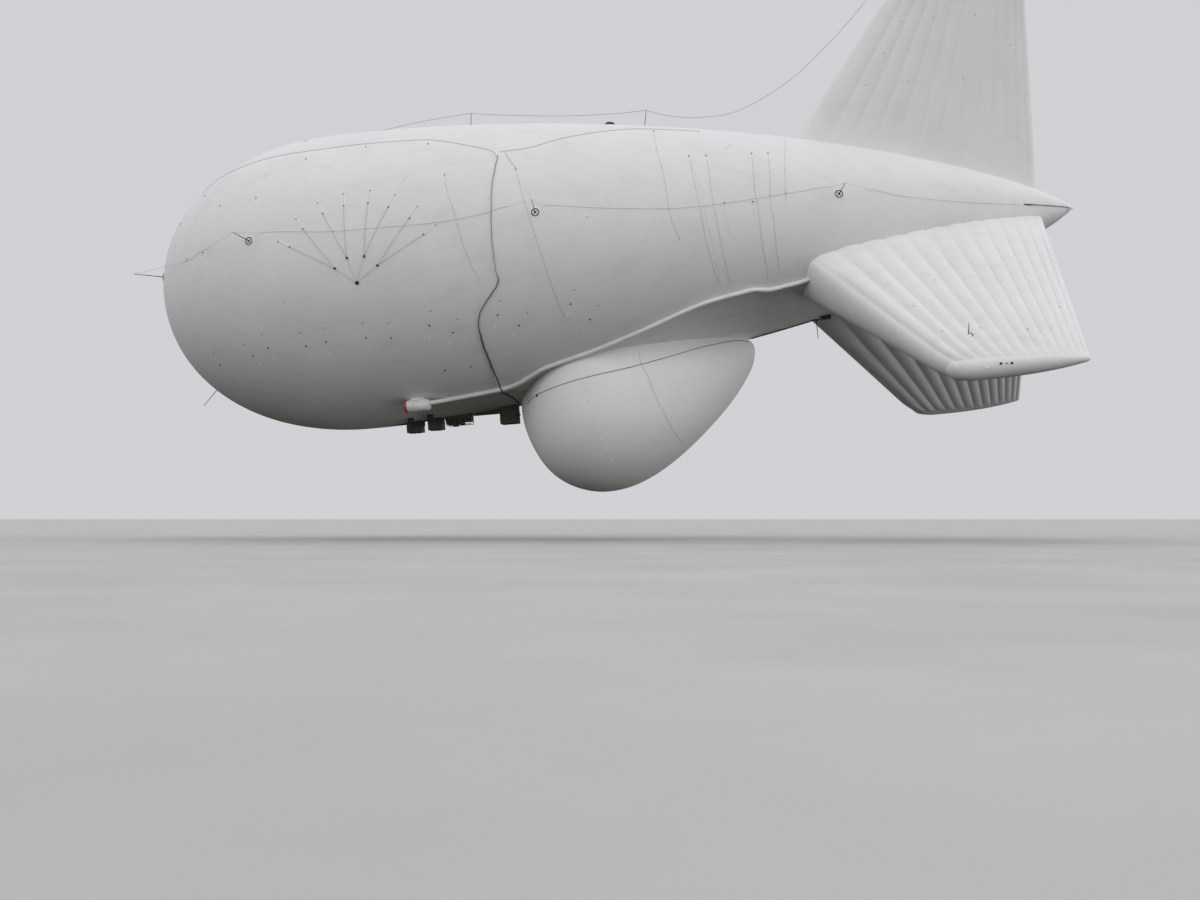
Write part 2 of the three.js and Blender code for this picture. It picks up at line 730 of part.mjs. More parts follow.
for (const [name, x, angle, length] of hullRods) {
  const rod = rodSolid(hullPoint(x, angle), hullNormal(x, angle), length).subtract(hullSeat);
  hull.add(named(name, rod, 'dark_metal'));
}
const keelRod = rodSolid(keelPoint(27030, 0), straightDown, 800).subtract(keelSeat);
keel.add(named('rod_keel', keelRod, 'dark_metal'));

// Rods on the upper faces of the lower fins
const FIN_ROD_X = 31860;
const FIN_ROD_REACH = 8270;
const FIN_ROD_LIFT = 530;
const FIN_ROD_LENGTH = 550;
fins.slice(1).forEach(([fin, angle, rise], i) => {
  const axis = new THREE.Vector3(1, 0, 0);
  const spot = new THREE.Vector3(FIN_ROD_X - NOSE_TO_ORIGIN, rise * FIN_ROD_LIFT, FIN_ROD_REACH);
  const out = new THREE.Vector3(0, rise, 0).applyAxisAngle(axis, degrees(angle));
  const rod = rodSolid(spot.applyAxisAngle(axis, degrees(angle)), out, FIN_ROD_LENGTH);
  tail.add(named(fin.replace('fin_lower', 'rod_fin'), rod.subtract(finSeats[i + 1]), 'dark_metal'));
});

// Valve on the back of the hull, line hubs on its sides, and the tail cap
const topValve = standing([
  [0, -80],
  [300, -80],
  [300, 40],
  [230, 60],
  [230, 300],
  [160, 380],
  [0, 400],
], 16, hullPoint(19300, 180), hullNormal(19300, 180));
hull.add(named('top_valve', topValve.subtract(hullSeat), 'dark_metal'));

const HUB_X = 10285;
const HUB_ANGLE = 77.3;
for (const [name, side] of sides) {
  const spot = hullPoint(HUB_X, side * HUB_ANGLE);
  const profile = [[0, -40], [75, -40], [75, 20], [30, 60], [0, 60]];
  const hub = standing(profile, 10, spot, hullNormal(HUB_X, side * HUB_ANGLE));
  hull.add(named(`line_hub_${name}`, hub.subtract(hullSeat), 'dark_metal'));
}

const tailEnd = HULL_LENGTH - NOSE_TO_ORIGIN;
const tailCap = lathe([
  new THREE.Vector2(0, tailEnd - 200),
  new THREE.Vector2(230, tailEnd - 200),
  new THREE.Vector2(40, tailEnd + 50),
  new THREE.Vector2(0, tailEnd + 50),
], 16);
hull.add(named('tail_cap', solidFrom(tailCap).subtract(hullSeat), 'duct_fabric'));

// The signal cable down the port side, over the duct and into the keel behind the control box
const CABLE_RADIUS = 32;
const CABLE_LIFT = CABLE_RADIUS + 2;
const CABLE_OVER_DUCT = 2 * DUCT_RADIUS + CABLE_LIFT + 15;
// x from the nose, angle from straight down, height over the hull
const cableRows = [
  [15650, 124, CABLE_LIFT],
  [15500, 103, CABLE_LIFT],
  [15480, 80, CABLE_LIFT],
  [15520, 72, CABLE_LIFT],
  [14850, 64, CABLE_LIFT],
  [14560, 58, CABLE_LIFT],
  [14550, 49, CABLE_LIFT],
  [14640, 36, CABLE_LIFT + 16],
  [14690, 27.2, CABLE_OVER_DUCT],
  [14690, 23.7, CABLE_OVER_DUCT],
];
const cablePoints = cableRows.map(([x, angle, lift]) => hullPoint(x, angle, lift));
// x from the nose, distance to port, height over the keel panel
const cableKeelRows = [
  [14680, 1850, CABLE_LIFT + 20],
  [14790, 1100, CABLE_LIFT],
  [14840, 500, CABLE_LIFT],
  [14860, 300, 0],
];
for (const [x, y, lift] of cableKeelRows) cablePoints.push(keelPoint(x, -y, lift));
const cable = solidFrom(tubeAlong(cablePoints, CABLE_RADIUS, 6, 44));
const [, boxFront, boxBack, boxWidth] = keelBoxes.find((row) => row[0] === 'control_box');
const boxSeat = boxBetween(boxFront - GAP, boxBack + GAP, boxWidth + 2 * GAP, 1.3 * HULL_RADIUS, 4500);
const cableSolid = cable.subtract(keelSeat).subtract(ductSolid(1, DUCT_RADIUS + GAP)).subtract(boxSeat);
keel.add(named('side_cable', largest(cableSolid), 'cable_black'));

export default group;
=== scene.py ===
import itertools
import math

import bmesh
import bpy
from mathutils import Matrix, Vector
from mathutils.bvhtree import BVHTree


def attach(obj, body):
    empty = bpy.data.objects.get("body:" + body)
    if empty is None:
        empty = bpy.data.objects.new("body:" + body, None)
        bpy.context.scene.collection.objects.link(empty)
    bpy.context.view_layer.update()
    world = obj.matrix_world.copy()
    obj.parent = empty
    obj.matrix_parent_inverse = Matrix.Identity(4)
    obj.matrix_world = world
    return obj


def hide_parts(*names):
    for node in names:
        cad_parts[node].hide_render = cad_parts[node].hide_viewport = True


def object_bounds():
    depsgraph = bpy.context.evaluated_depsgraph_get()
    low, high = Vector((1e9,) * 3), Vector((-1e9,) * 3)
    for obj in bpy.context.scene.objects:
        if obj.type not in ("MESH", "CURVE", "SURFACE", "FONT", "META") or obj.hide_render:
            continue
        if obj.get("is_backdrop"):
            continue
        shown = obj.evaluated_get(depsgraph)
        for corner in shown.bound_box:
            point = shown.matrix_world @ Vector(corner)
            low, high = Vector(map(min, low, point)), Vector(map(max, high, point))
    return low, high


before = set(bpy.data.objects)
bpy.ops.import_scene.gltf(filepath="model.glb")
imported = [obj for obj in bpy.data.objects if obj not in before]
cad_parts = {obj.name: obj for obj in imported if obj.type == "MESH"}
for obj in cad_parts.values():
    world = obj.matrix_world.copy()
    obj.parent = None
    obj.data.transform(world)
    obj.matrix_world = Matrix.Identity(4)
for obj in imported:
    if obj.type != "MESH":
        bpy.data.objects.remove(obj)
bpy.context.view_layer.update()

AEROSTAT = "aerostat"
SIDES = (("port", 1), ("starboard", -1))
DOWN = Vector((0, 0, -1))
FORWARD = Vector((-1, 0, 0))
BACKWARD = Vector((1, 0, 0))

# Camera: the hull floats with its tail up, so the level ground is turned in the hull's frame
PHOTO_WIDTH = 1200
PHOTO_HEIGHT = 900
FOCAL_PIXELS = 1190
SENSOR_WIDTH = 36
CAMERA_PLACE = Vector((9.947, -47.587, -11.214))
CAMERA_YAW = math.radians(-9.744)
CAMERA_PITCH = math.radians(3.318)
TAIL_UP = math.radians(3.978)
EYE_HEIGHT = 0.85
FLOOR_REACH = 3000

# Hull
HULL_LENGTH = 37.0
HULL_RADIUS = 6.15
NOSE_TO_WIDEST = 8.1
NOSE_TO_ORIGIN = 16.0
NOSE_POWER = 2.14
TAIL_INNER_POWER = 1.8
TAIL_OUTER_POWER = 0.78

# Fins, seen flat: x from the nose, reach from the hull's axis
LOWER_FIN_ANGLE = 45
FIN_ROOT_FRONT = 26.8
FIN_ROOT_REACH = 3.91
FIN_TIP_FRONT = 30.85
FIN_TIP_REACH = 9.33
FIN_BACK = 35.75
FIN_BACK_REACH = 0.9
FIN_ROOT_HALF = 1.07
FIN_TIP_HALF = 0.42
FIN_ROOT_RISE = 0.06
FIN_LOBES = 13
FIN_ROOT_NOSE = 0.46
FIN_TIP_NOSE = 0.32
FIN_NOSE_THICKNESS = 0.84
FIN_SWELL_PART = 0.14
FIN_THIN_END = 0.2
FIN_THIN_POWER = 3

# Radome, ducts and blowers
RADOME_FRONT = 14.925
RADOME_BACK = 24.525
DUCT_RADIUS = 0.083
DUCT_BACK = 27.1
BLOWER_RADIUS = 0.235
BLOWER_LENGTH = 0.9
BLOWER_WALL = 0.012
BLOWER_X = 10.9
BLOWER_ANGLE = 25.5
BLOWER_LIFT = 0.262

# Keel: x from the nose, angle of the duct line from straight down, depth of the fold over radius
KEEL_ROWS = [
    (9.3, 3, 1),
    (10.7, 21.8, 0.997),
    (11.4, 22.1, 0.996),
    (13, 22.9, 0.994),
    (14.9, 24.1, 0.992),
    (15.3, 25.4, 0.987),
    (16.5, 31.8, 0.97),
    (17.3, 33.9, 0.962),
    (18.6, 36.7, 0.945),
    (20.5, 42.2, 0.92),
    (22.8, 49.6, 0.897),
    (24.3, 51.5, 0.895),
    (24.9, 51.6, 0.895),
    (25.35, 50, 0.896),
    (26.7, 50.7, 0.897),
    (27.5, 50, 0.9),
    (28.3, 20, 0.97),
    (28.6, 5, 1),
]
KEEL_FRONT = KEEL_ROWS[0][0]
KEEL_BACK = KEEL_ROWS[-1][0]
KEEL_SPLIT = 16.2

# Radome sections: share of the way back, half width at the panels, widest half width, depth
RADOME_ROWS = [
    (0, 0.03, 0.04, 6.14),
    (0.02, 0.35, 0.38, 6.3),
    (0.1, 0.85, 0.9, 7.22),
    (0.2, 2.01, 2.06, 8.52),
    (0.3, 2.96, 3.0, 9.31),
    (0.4, 3.15, 3.2, 9.6),
    (0.5, 2.64, 2.81, 9.27),
    (0.6, 1.9, 2.28, 8.39),
    (0.7, 1.12, 1.7, 7.25),
    (0.8, 0.6, 1.13, 6.15),
    (0.9, 0.32, 0.63, 5.13),
    (0.98, 0.18, 0.26, 4.55),
    (1, 0.03, 0.04, 3.95),
]


# Small helpers

def lerp(a, b, share):
    return a + (b - a) * share


def held(value):
    """A share kept between 0 and 1."""
    return min(1, max(0, value))


def eased(share):
    """A share that starts and ends gently."""
    return share * share * (3 - 2 * share)


def steps(count):
    """Shares from 0 to 1, both ends included."""
    return [i / count for i in range(count + 1)]


def mirrored(point):
    return Vector((point.x, -point.y, point.z))


def between(table, column, at):
    """A smooth value between the rows of a short table, read by its first column."""
    last = len(table) - 1
    if at <= table[0][0]:
        return table[0][column]
    if at >= table[last][0]:
        return table[last][column]
    i = 0
    while table[i + 1][0] < at:
        i += 1

    def slope(k):
        low, high = max(k - 1, 0), min(k + 1, last)
        return (table[high][column] - table[low][column]) / (table[high][0] - table[low][0])

    width = table[i + 1][0] - table[i][0]
    t = (at - table[i][0]) / width
    p, q = table[i][column], table[i + 1][column]
    m, n = slope(i) * width, slope(i + 1) * width
    return p + m * t + (3 * (q - p) - 2 * m - n) * t**2 + (2 * (p - q) + m + n) * t**3


def softly(table, column, at, reach=0.05):
    """The mean of a table's values just around a place, in a table that runs from 0 to 1."""
    near = min(reach, at, 1 - at)
    return sum(between(table, column, at + near * k / 3) for k in range(-3, 4)) / 7


def spline(points, per=8):
    """A smooth line through points, with per steps between two of them."""
    padded = [2 * points[0] - points[1], *points, 2 * points[-1] - points[-2]]
    line = []
    for a, b, c, d in zip(padded, padded[1:], padded[2:], padded[3:]):
        for k in range(per):
            t = k / per
            line.append(
                0.5 * (2 * b + (c - a) * t + (2 * a - 5 * b + 4 * c - d) * t**2
                       + (3 * b - a - 3 * c + d) * t**3)
            )
    return [*line, points[-1].copy()]


# Hull shape

def hull_radius(x):
    if x <= 0 or x >= HULL_LENGTH:
        return 0.0
    if x < NOSE_TO_WIDEST:
        ahead = (NOSE_TO_WIDEST - x) / NOSE_TO_WIDEST
        return HULL_RADIUS * (1 - ahead**NOSE_POWER) ** (1 / NOSE_POWER)
    behind = (x - NOSE_TO_WIDEST) / (HULL_LENGTH - NOSE_TO_WIDEST)
    return HULL_RADIUS * (1 - behind**TAIL_INNER_POWER) ** TAIL_OUTER_POWER


def hull_normal(x, angle):
    step = 0.005
    slope = (hull_radius(x + step) - hull_radius(x - step)) / (2 * step)
    turn = math.radians(angle)
    return Vector((-slope, -math.sin(turn), -math.cos(turn))).normalized()


def hull_point(x, angle, lift=0.0):
    r = hull_radius(x)
    turn = math.radians(angle)
    foot = Vector((x - NOSE_TO_ORIGIN, -r * math.sin(turn), -r * math.cos(turn)))
    return foot + hull_normal(x, angle) * lift


def keel_angle(x):
    return between(KEEL_ROWS, 1, x)


def keel_half(x):
    return hull_radius(x) * math.sin(math.radians(keel_angle(x)))


def keel_depth(x, y):
    """Depth of the keel panels' outer face under the hull's axis."""
    shallow = hull_radius(x) * math.cos(math.radians(keel_angle(x)))
    deep = hull_radius(x) * between(KEEL_ROWS, 2, x)
    return deep - (deep - shallow) * abs(y) / max(keel_half(x), 1e-6)


def keel_point(x, y, lift=0.0):
    step = 0.05
    across = (keel_depth(x, y + step) - keel_depth(x, y - step)) / (2 * step)
    along = (keel_depth(x + step, y) - keel_depth(x - step, y)) / (2 * step)
    normal = Vector((-along, -across, -1)).normalized()
    return Vector((x - NOSE_TO_ORIGIN, y, -keel_depth(x, y))) + normal * lift


def on_hull(point, lift):
    """The place on the round hull nearest to a point, on the same station."""
    x = point.x + NOSE_TO_ORIGIN
    return hull_point(x, math.degrees(math.atan2(-point.y, -point.z)), lift)


def from_axis(point):
    """The way straight out of the hull's axis to a point."""
    return Vector((0, point.y, point.z)).normalized()


def along_hull(a, b, lift, count=14):
    """A taut line between two points that follows the round hull."""
    return [on_hull(lerp(a, b, t), lift) for t in steps(count)]


def clear_of_hull(line, lift):
    """A line with the points that lie inside the hull moved out of it."""
    clear = []
    for point in line:
        on = on_hull(point, lift)
        axis = Vector((point.x, 0, 0))
        clear.append(on if (on - axis).length > (point - axis).length else point)
    return clear


# Camera rays: a place in the photograph gives the point that it shows

def level_axis(x, y, z):
    """A direction over level ground, in the hull's frame."""
    return Matrix.Rotation(TAIL_UP, 3, "Y") @ Vector((x, y, z))


CAMERA_RIGHT = level_axis(math.cos(CAMERA_YAW), -math.sin(CAMERA_YAW), 0)
CAMERA_AHEAD = level_axis(
    math.sin(CAMERA_YAW) * math.cos(CAMERA_PITCH),
    math.cos(CAMERA_YAW) * math.cos(CAMERA_PITCH),
    math.sin(CAMERA_PITCH),
)
CAMERA_UP = CAMERA_RIGHT.cross(CAMERA_AHEAD)
LEVEL_UP = level_axis(0, 0, 1)
HULL_MIDDLE = (560, 260)
PIXEL_TRIES = 30


def sight(pixel):
    """The direction from the camera through a pixel of the photograph."""
    across, down = pixel[0] - PHOTO_WIDTH / 2, pixel[1] - PHOTO_HEIGHT / 2
    return (CAMERA_AHEAD * FOCAL_PIXELS + CAMERA_RIGHT * across - CAMERA_UP * down).normalized()


def seen(pixel, *surfaces):
    """The nearest point that a pixel shows on some surfaces, and the way out of it.
    A pixel just past the outline moves in towards the hull's middle until it shows them."""
    across, down = pixel
    for _ in range(PIXEL_TRIES):
        direction = sight((across, down))
        hits = []
        for surface in surfaces:
            point, normal, _, distance = surface.tree.ray_cast(CAMERA_PLACE, direction)
            if point is not None:
                hits.append((distance, point, normal))
        if hits:
            _, point, normal = min(hits, key=lambda hit: hit[0])
            return point, -normal if normal.dot(direction) > 0 else normal
        away = math.hypot(across - HULL_MIDDLE[0], down - HULL_MIDDLE[1])
        across += (HULL_MIDDLE[0] - across) / away
        down += (HULL_MIDDLE[1] - down) / away
    raise ValueError(f"no surface near pixel {pixel}")


# Meshes

def square_to(out):
    """Two directions square to one and to each other."""
    side = out.orthogonal().normalized()
    return side, out.cross(side)


def spokes(out, count):
    """Directions square to out, all the way round it."""
    side, other = square_to(out)
    turns = [2 * math.pi * i / count for i in range(count)]
    return [side * math.cos(t) + other * math.sin(t) for t in turns]


class Shape:
    """Points and faces gathered from simple forms, for one joined mesh."""

    def __init__(self):
        self.points = []
        self.faces = []
        self.tree = None

    def grid(self, rows, closed=True, ends=True):
        start, count = len(self.points), len(rows[0])
        for row in rows:
            self.points.extend(row)
        for i in range(len(rows) - 1):
            for j in range(count if closed else count - 1):
                a = start + i * count + j
                b = start + i * count + (j + 1) % count
                self.faces.append((a, b, b + count, a + count))
        if closed and ends:
            last = start + (len(rows) - 1) * count
            self.faces.append(tuple(range(start, start + count)))
            self.faces.append(tuple(range(last, last + count)))

    def tube(self, line, radius, sides=8):
        """A tube along a line; its radius may be a number or a function of the share along it."""
        rows, side = [], None
        last = len(line) - 1
        for i, point in enumerate(line):
            ahead = (line[min(i + 1, last)] - line[max(i - 1, 0)]).normalized()
            side = side or ahead.orthogonal()
            side = (side - ahead * side.dot(ahead)).normalized()
            other = ahead.cross(side)
            wide = radius(i / last) if callable(radius) else radius
            turns = [2 * math.pi * j / sides for j in range(sides)]
            rows.append([point + wide * (side * math.cos(t) + other * math.sin(t)) for t in turns])
        self.grid(rows)

    def turned(self, profile, foot, out, count=32, ends=True):
        """A turned form on a foot: the profile's points are radius and height along out."""
        around = spokes(out, count)
        self.grid([[foot + out * h + r * spoke for spoke in around] for r, h in profile], ends=ends)

    def ring(self, centre, out, radius, thick, count=32, sides=8):
        """A round bar bent to a ring that lies square to out."""
        turns = [2 * math.pi * j / sides for j in range(sides)]
        rows = [
            [centre + spoke * (radius + thick * math.cos(t)) + out * thick * math.sin(t) for t in turns]
            for spoke in spokes(out, count)
        ]
        self.grid([*rows, rows[0]], ends=False)

    def convex(self, points):
        """The convex form around some points."""
        work = bmesh.new()
        for point in points:
            work.verts.new(point)
        bmesh.ops.convex_hull(work, input=work.verts)
        work.verts.index_update()
        start = len(self.points)
        self.points.extend(v.co.copy() for v in work.verts)
        self.faces.extend(tuple(start + v.index for v in face.verts) for face in work.faces)
        work.free()

    def block(self, low, high, edge=0.01, axes=None, foot=None):
        """A box with broken edges, between two corners, which may be given on axes from a foot."""
        corners = []
        for ends in itertools.product((0, 1), repeat=3):
            inward = [edge * (1 - 2 * s) for s in ends]
            corner = [(low, high)[s][k] for k, s in enumerate(ends)]
            for flat in range(3):
                corners.append(Vector([corner[k] + (0 if k == flat else inward[k]) for k in range(3)]))
        if axes is not None:
            corners = [foot + axes[0] * c.x + axes[1] * c.y + axes[2] * c.z for c in corners]
        self.convex(corners)

    def watch(self):
        """Makes the shape one that camera rays can meet."""
        self.tree = BVHTree.FromPolygons(self.points, self.faces)
        return self

    def piece(self, name, finish, slot, body=AEROSTAT, replaces=(), sharp=None):
        mesh = bpy.data.meshes.new(name)
        mesh.from_pydata([tuple(p) for p in self.points], [], self.faces)
        work = bmesh.new()
        work.from_mesh(mesh)
        bmesh.ops.remove_doubles(work, verts=work.verts, dist=1e-5)
        bmesh.ops.recalc_face_normals(work, faces=work.faces)
        work.to_mesh(mesh)
        work.free()
        mesh.shade_smooth()
        if sharp:
            mesh.set_sharp_from_angle(angle=math.radians(sharp))
        mesh.materials.append(finish)
        made = bpy.data.objects.new(name, mesh)
        bpy.context.scene.collection.objects.link(made)
        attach(made, body)
        if replaces:
            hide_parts(*replaces)
        return made


# Materials

WHITE = (0.80, 0.805, 0.81)


def add_node(tree, kind, inputs=(), **settings):
    """A node with its settings, and its inputs linked or set."""
    made = tree.nodes.new(kind)
    for key, value in settings.items():
        setattr(made, key, value)
    for key, value in dict(inputs).items():
        if isinstance(value, bpy.types.NodeSocket):
            tree.links.new(value, made.inputs[key])
        else:
            made.inputs[key].default_value = value
    return made


def mixed(tree, share, a, b):
    """A mix of two colours, each three numbers or a socket."""
    a, b = (c if isinstance(c, bpy.types.NodeSocket) else (*c, 1) for c in (a, b))
    return add_node(tree, "ShaderNodeMix", {0: share, 6: a, 7: b}, data_type="RGBA").outputs[2]


class Finish:
    """A material under construction: its nodes and its shader."""

    def __init__(self, name, roughness=0.6, metallic=0.0, specular=0.4):
        self.material = bpy.data.materials.new(name)
        self.material.use_nodes = True
        self.tree = self.material.node_tree
        self.sockets = self.tree.nodes["Principled BSDF"].inputs
        self.sockets["Roughness"].default_value = roughness
        self.sockets["Metallic"].default_value = metallic
        self.sockets["Specular IOR Level"].default_value = specular
        self.place = self.node("ShaderNodeTexCoord").outputs["Object"]
        self.height = None

    def node(self, kind, inputs=(), **settings):
        return add_node(self.tree, kind, inputs, **settings)

    def maths(self, operation, *values):
        return self.node("ShaderNodeMath", enumerate(values), operation=operation).outputs[0]

    def noise(self, scale, detail=3.0, stretch=(1, 1, 1)):
        place = self.node("ShaderNodeMapping", {"Vector": self.place, "Scale": stretch})
        inputs = {"Vector": place.outputs[0], "Scale": scale, "Detail": detail}
        return self.node("ShaderNodeTexNoise", inputs).outputs[0]

    def band(self, value, low, high, to_low=0.0, to_high=1.0):
        """A value spread from one range to another, and held inside it."""
        inputs = {"Value": value, "From Min": low, "From Max": high, "To Min": to_low, "To Max": to_high}
        return self.node("ShaderNodeMapRange", inputs).outputs[0]

    def mix(self, share, a, b):
        return mixed(self.tree, share, a, b)

    def stain(self, tint, value, low, high, colour, most=1.0):
        """A tint that turns to a colour, at most by some share, where a value is high."""
        return self.mix(self.band(value, low, high, 0, most), tint, colour)

    def colour(self, value):
        self.tree.links.new(value, self.sockets["Base Color"])

    def rough(self, value):
        self.tree.links.new(value, self.sockets["Roughness"])

    def bump(self, height, strength, distance):
        """Adds one layer of relief over those before it."""
        inputs = {"Height": height, "Strength": strength, "Distance": distance}
        if self.height is not None:
            inputs["Normal"] = self.height
        self.height = self.node("ShaderNodeBump", inputs).outputs[0]
        self.tree.links.new(self.height, self.sockets["Normal"])


def dimmed(colour, share):
    return tuple(part * share for part in colour)


def weave(finish, spacing):
    """A plain weave: two crossed sets of threads, one thread each spacing."""
    parts = finish.node("ShaderNodeSeparateXYZ", {"Vector": finish.place}).outputs
    turns = 2 * math.pi / spacing
    warp = finish.maths("SINE", finish.maths("MULTIPLY", parts[0], turns))
    weft = finish.maths("SINE", finish.maths("MULTIPLY", finish.maths("ADD", parts[1], parts[2]), turns))
    return finish.maths("MULTIPLY", warp, weft)


def fabric(name, colour, grime=0.15, gores=0, panel=0.0, white_to=None, painted_shade_low=None):
    """Coated fabric: a fine weave, soft slack, faint welded seams and grime in streaks.
    A fabric that is white to some place from the nose is the hull's white ahead of it, and one
    with painted shade low grows darker towards the bottom between two heights: painted shade."""
    finish = Finish(name, roughness=0.62, specular=0.3)
    tint = finish.stain(dimmed(colour, 0.955), finish.noise(0.45, 4), 0.35, 0.65, colour)
    mottle = finish.noise(7, 5)
    tint = finish.stain(tint, mottle, 0.35, 0.75, dimmed(colour, 0.93), 0.5)
    streak = finish.noise(1.6, 6, (0.5, 2.2, 0.6))
    tint = finish.stain(tint, streak, 0.52, 0.8, (0.33, 0.32, 0.29), grime)
    seams = []
    parts = finish.node("ShaderNodeSeparateXYZ", {"Vector": finish.place}).outputs
    if white_to:
        start = white_to - NOSE_TO_ORIGIN
        tint = finish.mix(finish.band(parts[0], start, start + 1.2), WHITE, tint)
    # Painted shade: the colour darkens towards the bottom between two heights
    if painted_shade_low:
        tint = finish.mix(finish.band(parts[2], *painted_shade_low, 1, 0), tint, dimmed(colour, 0.78))
    if gores:
        turn = finish.maths("ARCTAN2", parts[1], parts[2])
        share = finish.maths("MULTIPLY", turn, gores / (2 * math.pi))
        seams.append(finish.band(finish.maths("PINGPONG", share, 0.5), 0.012, 0.02, 1, 0))
    if panel:
        share = finish.maths("DIVIDE", parts[0], panel)
        seams.append(finish.band(finish.maths("PINGPONG", share, 0.5), 0.008, 0.013, 1, 0))
    for seam in seams:
        tint = finish.mix(finish.maths("MULTIPLY", seam, 0.03), tint, (0.42, 0.42, 0.41))
        finish.bump(seam, 0.2, 0.002)
    finish.colour(tint)
    finish.rough(finish.band(mottle, 0.3, 0.7, 0.56, 0.7))
    finish.bump(finish.noise(0.8, 3), 0.5, 0.03)
    finish.bump(finish.noise(14, 4), 0.25, 0.004)
    finish.bump(weave(finish, 0.006), 0.3, 0.0006)
    return finish.material


def painted(name, colour, roughness=0.5, metallic=0.0, wear=0.3, worn=(0.3, 0.3, 0.29)):
    """Painted metal or moulded plastic: patchy gloss, dust, scratches and worn high spots."""
    finish = Finish(name, roughness, metallic)
    cloud = finish.noise(3, 5)
    tint = finish.stain(dimmed(colour, 0.75), cloud, 0.35, 0.7, colour)
    dust = finish.band(finish.noise(11, 6), 0.5, 0.75, 0, wear)
    tint = finish.mix(dust, tint, worn)
    scratch = finish.band(finish.noise(60, 3, (0.15, 1, 1)), 0.66, 0.72, 0, wear)
    tint = finish.mix(scratch, tint, worn)
    finish.colour(tint)
    finish.rough(finish.band(cloud, 0.3, 0.7, max(roughness - 0.12, 0.08), roughness + 0.15))
    finish.bump(finish.noise(180, 2), 0.15, 0.0006)
    finish.bump(dust, 0.1, 0.001)
    return finish.material


def braided(name, colour, pitch):
    """A rope or sheathed cable: slanted strands with painted shade in the grooves between them, and dull,
    slightly dusty colour.
    """
    finish = Finish(name, roughness=0.75, specular=0.25)
    parts = finish.node("ShaderNodeSeparateXYZ", {"Vector": finish.place}).outputs
    slant = finish.maths("ADD", parts[0], finish.maths("ADD", parts[1], parts[2]))
    strands_and_groove_shade = finish.maths("PINGPONG", finish.maths("DIVIDE", slant, pitch), 0.5)
    # Painted shade: the colour darkens in the grooves between the strands
    tint = finish.stain(dimmed(colour, 0.7), strands_and_groove_shade, 0.05, 0.45, colour)
    tint = finish.stain(tint, finish.noise(9, 4), 0.45, 0.8, dimmed(colour, 1.5), 0.35)
    finish.colour(tint)
    finish.bump(strands_and_groove_shade, 0.4, 0.002)
    return finish.material


hull_fabric = fabric("hull_fabric", WHITE, grime=0.12, gores=36, panel=1.9)
fin_fabric = fabric("fin_fabric", (0.82, 0.82, 0.825), grime=0.14)
# The top fin's fabric is the lower fins' fabric a little darker: painted shade for its upright faces
shaded_top_fin_fabric = fabric("shaded_top_fin_fabric", (0.765, 0.77, 0.755), grime=0.12)
# The radome's fabric has painted shade, darker towards its bottom
radome_fabric = fabric("radome_fabric", (0.94, 0.94, 0.935), grime=0.05, painted_shade_low=(-9.4, -6.6))
panel_fabric = fabric("panel_fabric", (0.85, 0.85, 0.84), grime=0.3, panel=1.2)
# The front keel panels are a darker grey with heavier streaks than the rear ones, and the hull's white
# ahead of 9.9 m from the nose
dark_front_panel_fabric = fabric("dark_front_panel_fabric", (0.68, 0.68, 0.655), grime=0.7, panel=1.2, white_to=9.9)
hose_fabric = fabric("hose_fabric", (0.84, 0.84, 0.835), grime=0.25, panel=0.5)
tab_fabric = fabric("tab_fabric", (0.93, 0.93, 0.93), grime=0.06)
tape_fabric = fabric("tape_fabric", (0.87, 0.87, 0.87), grime=0.06)
housing_paint = painted("housing_paint", (0.9, 0.9, 0.89), 0.45, wear=0.12)
rim_paint = painted("rim_paint", (0.42, 0.06, 0.09), 0.5, wear=0.2)
olive_paint = painted("olive_paint", (0.055, 0.065, 0.045), 0.6, 0.1, wear=0.25, worn=(0.13, 0.13, 0.11))
black_metal = painted("black_metal", (0.035, 0.036, 0.04), 0.5, 0.4, wear=0.2, worn=(0.12, 0.12, 0.12))
rod_metal = painted("rod_metal", (0.05, 0.05, 0.055), 0.45, 0.5, wear=0.25, worn=(0.2, 0.2, 0.2))
fan_metal = painted("fan_metal", (0.3, 0.31, 0.32), 0.38, 0.8, wear=0.25, worn=(0.5, 0.5, 0.5))
nose_metal = painted("nose_metal", (0.6, 0.61, 0.62), 0.35, 0.85, wear=0.2, worn=(0.4, 0.4, 0.4))
cable_rubber = braided("cable_rubber", (0.045, 0.045, 0.05), 0.05)
wire_rope = braided("wire_rope", (0.2, 0.2, 0.21), 0.03)
line_rope = braided("line_rope", (0.3, 0.3, 0.31), 0.04)
pale_wire = braided("pale_wire", (0.42, 0.42, 0.42), 0.03)
light_wire = braided("light_wire", (0.55, 0.55, 0.55), 0.03)


# Gas envelope

SKIN_NOSE_ROWS = 60
SKIN_TAIL_ROWS = 150
KEEL_COLUMNS = 10
SIDE_COLUMNS = 86
TAIL_CROWDING = 0.12
PANEL_LIFT = 0.004


def envelope_row(x):
    """One ring of the envelope, with a column on each edge of the keel panels."""
    row = []
    for i in range(-KEEL_COLUMNS, KEEL_COLUMNS):
        y = -keel_half(x) * i / KEEL_COLUMNS
        row.append(keel_point(x, y, -PANEL_LIFT))
    edge = keel_angle(x)
    for i in range(2 * SIDE_COLUMNS):
        row.append(hull_point(x, edge + (180 - edge) * i / SIDE_COLUMNS))
    return row


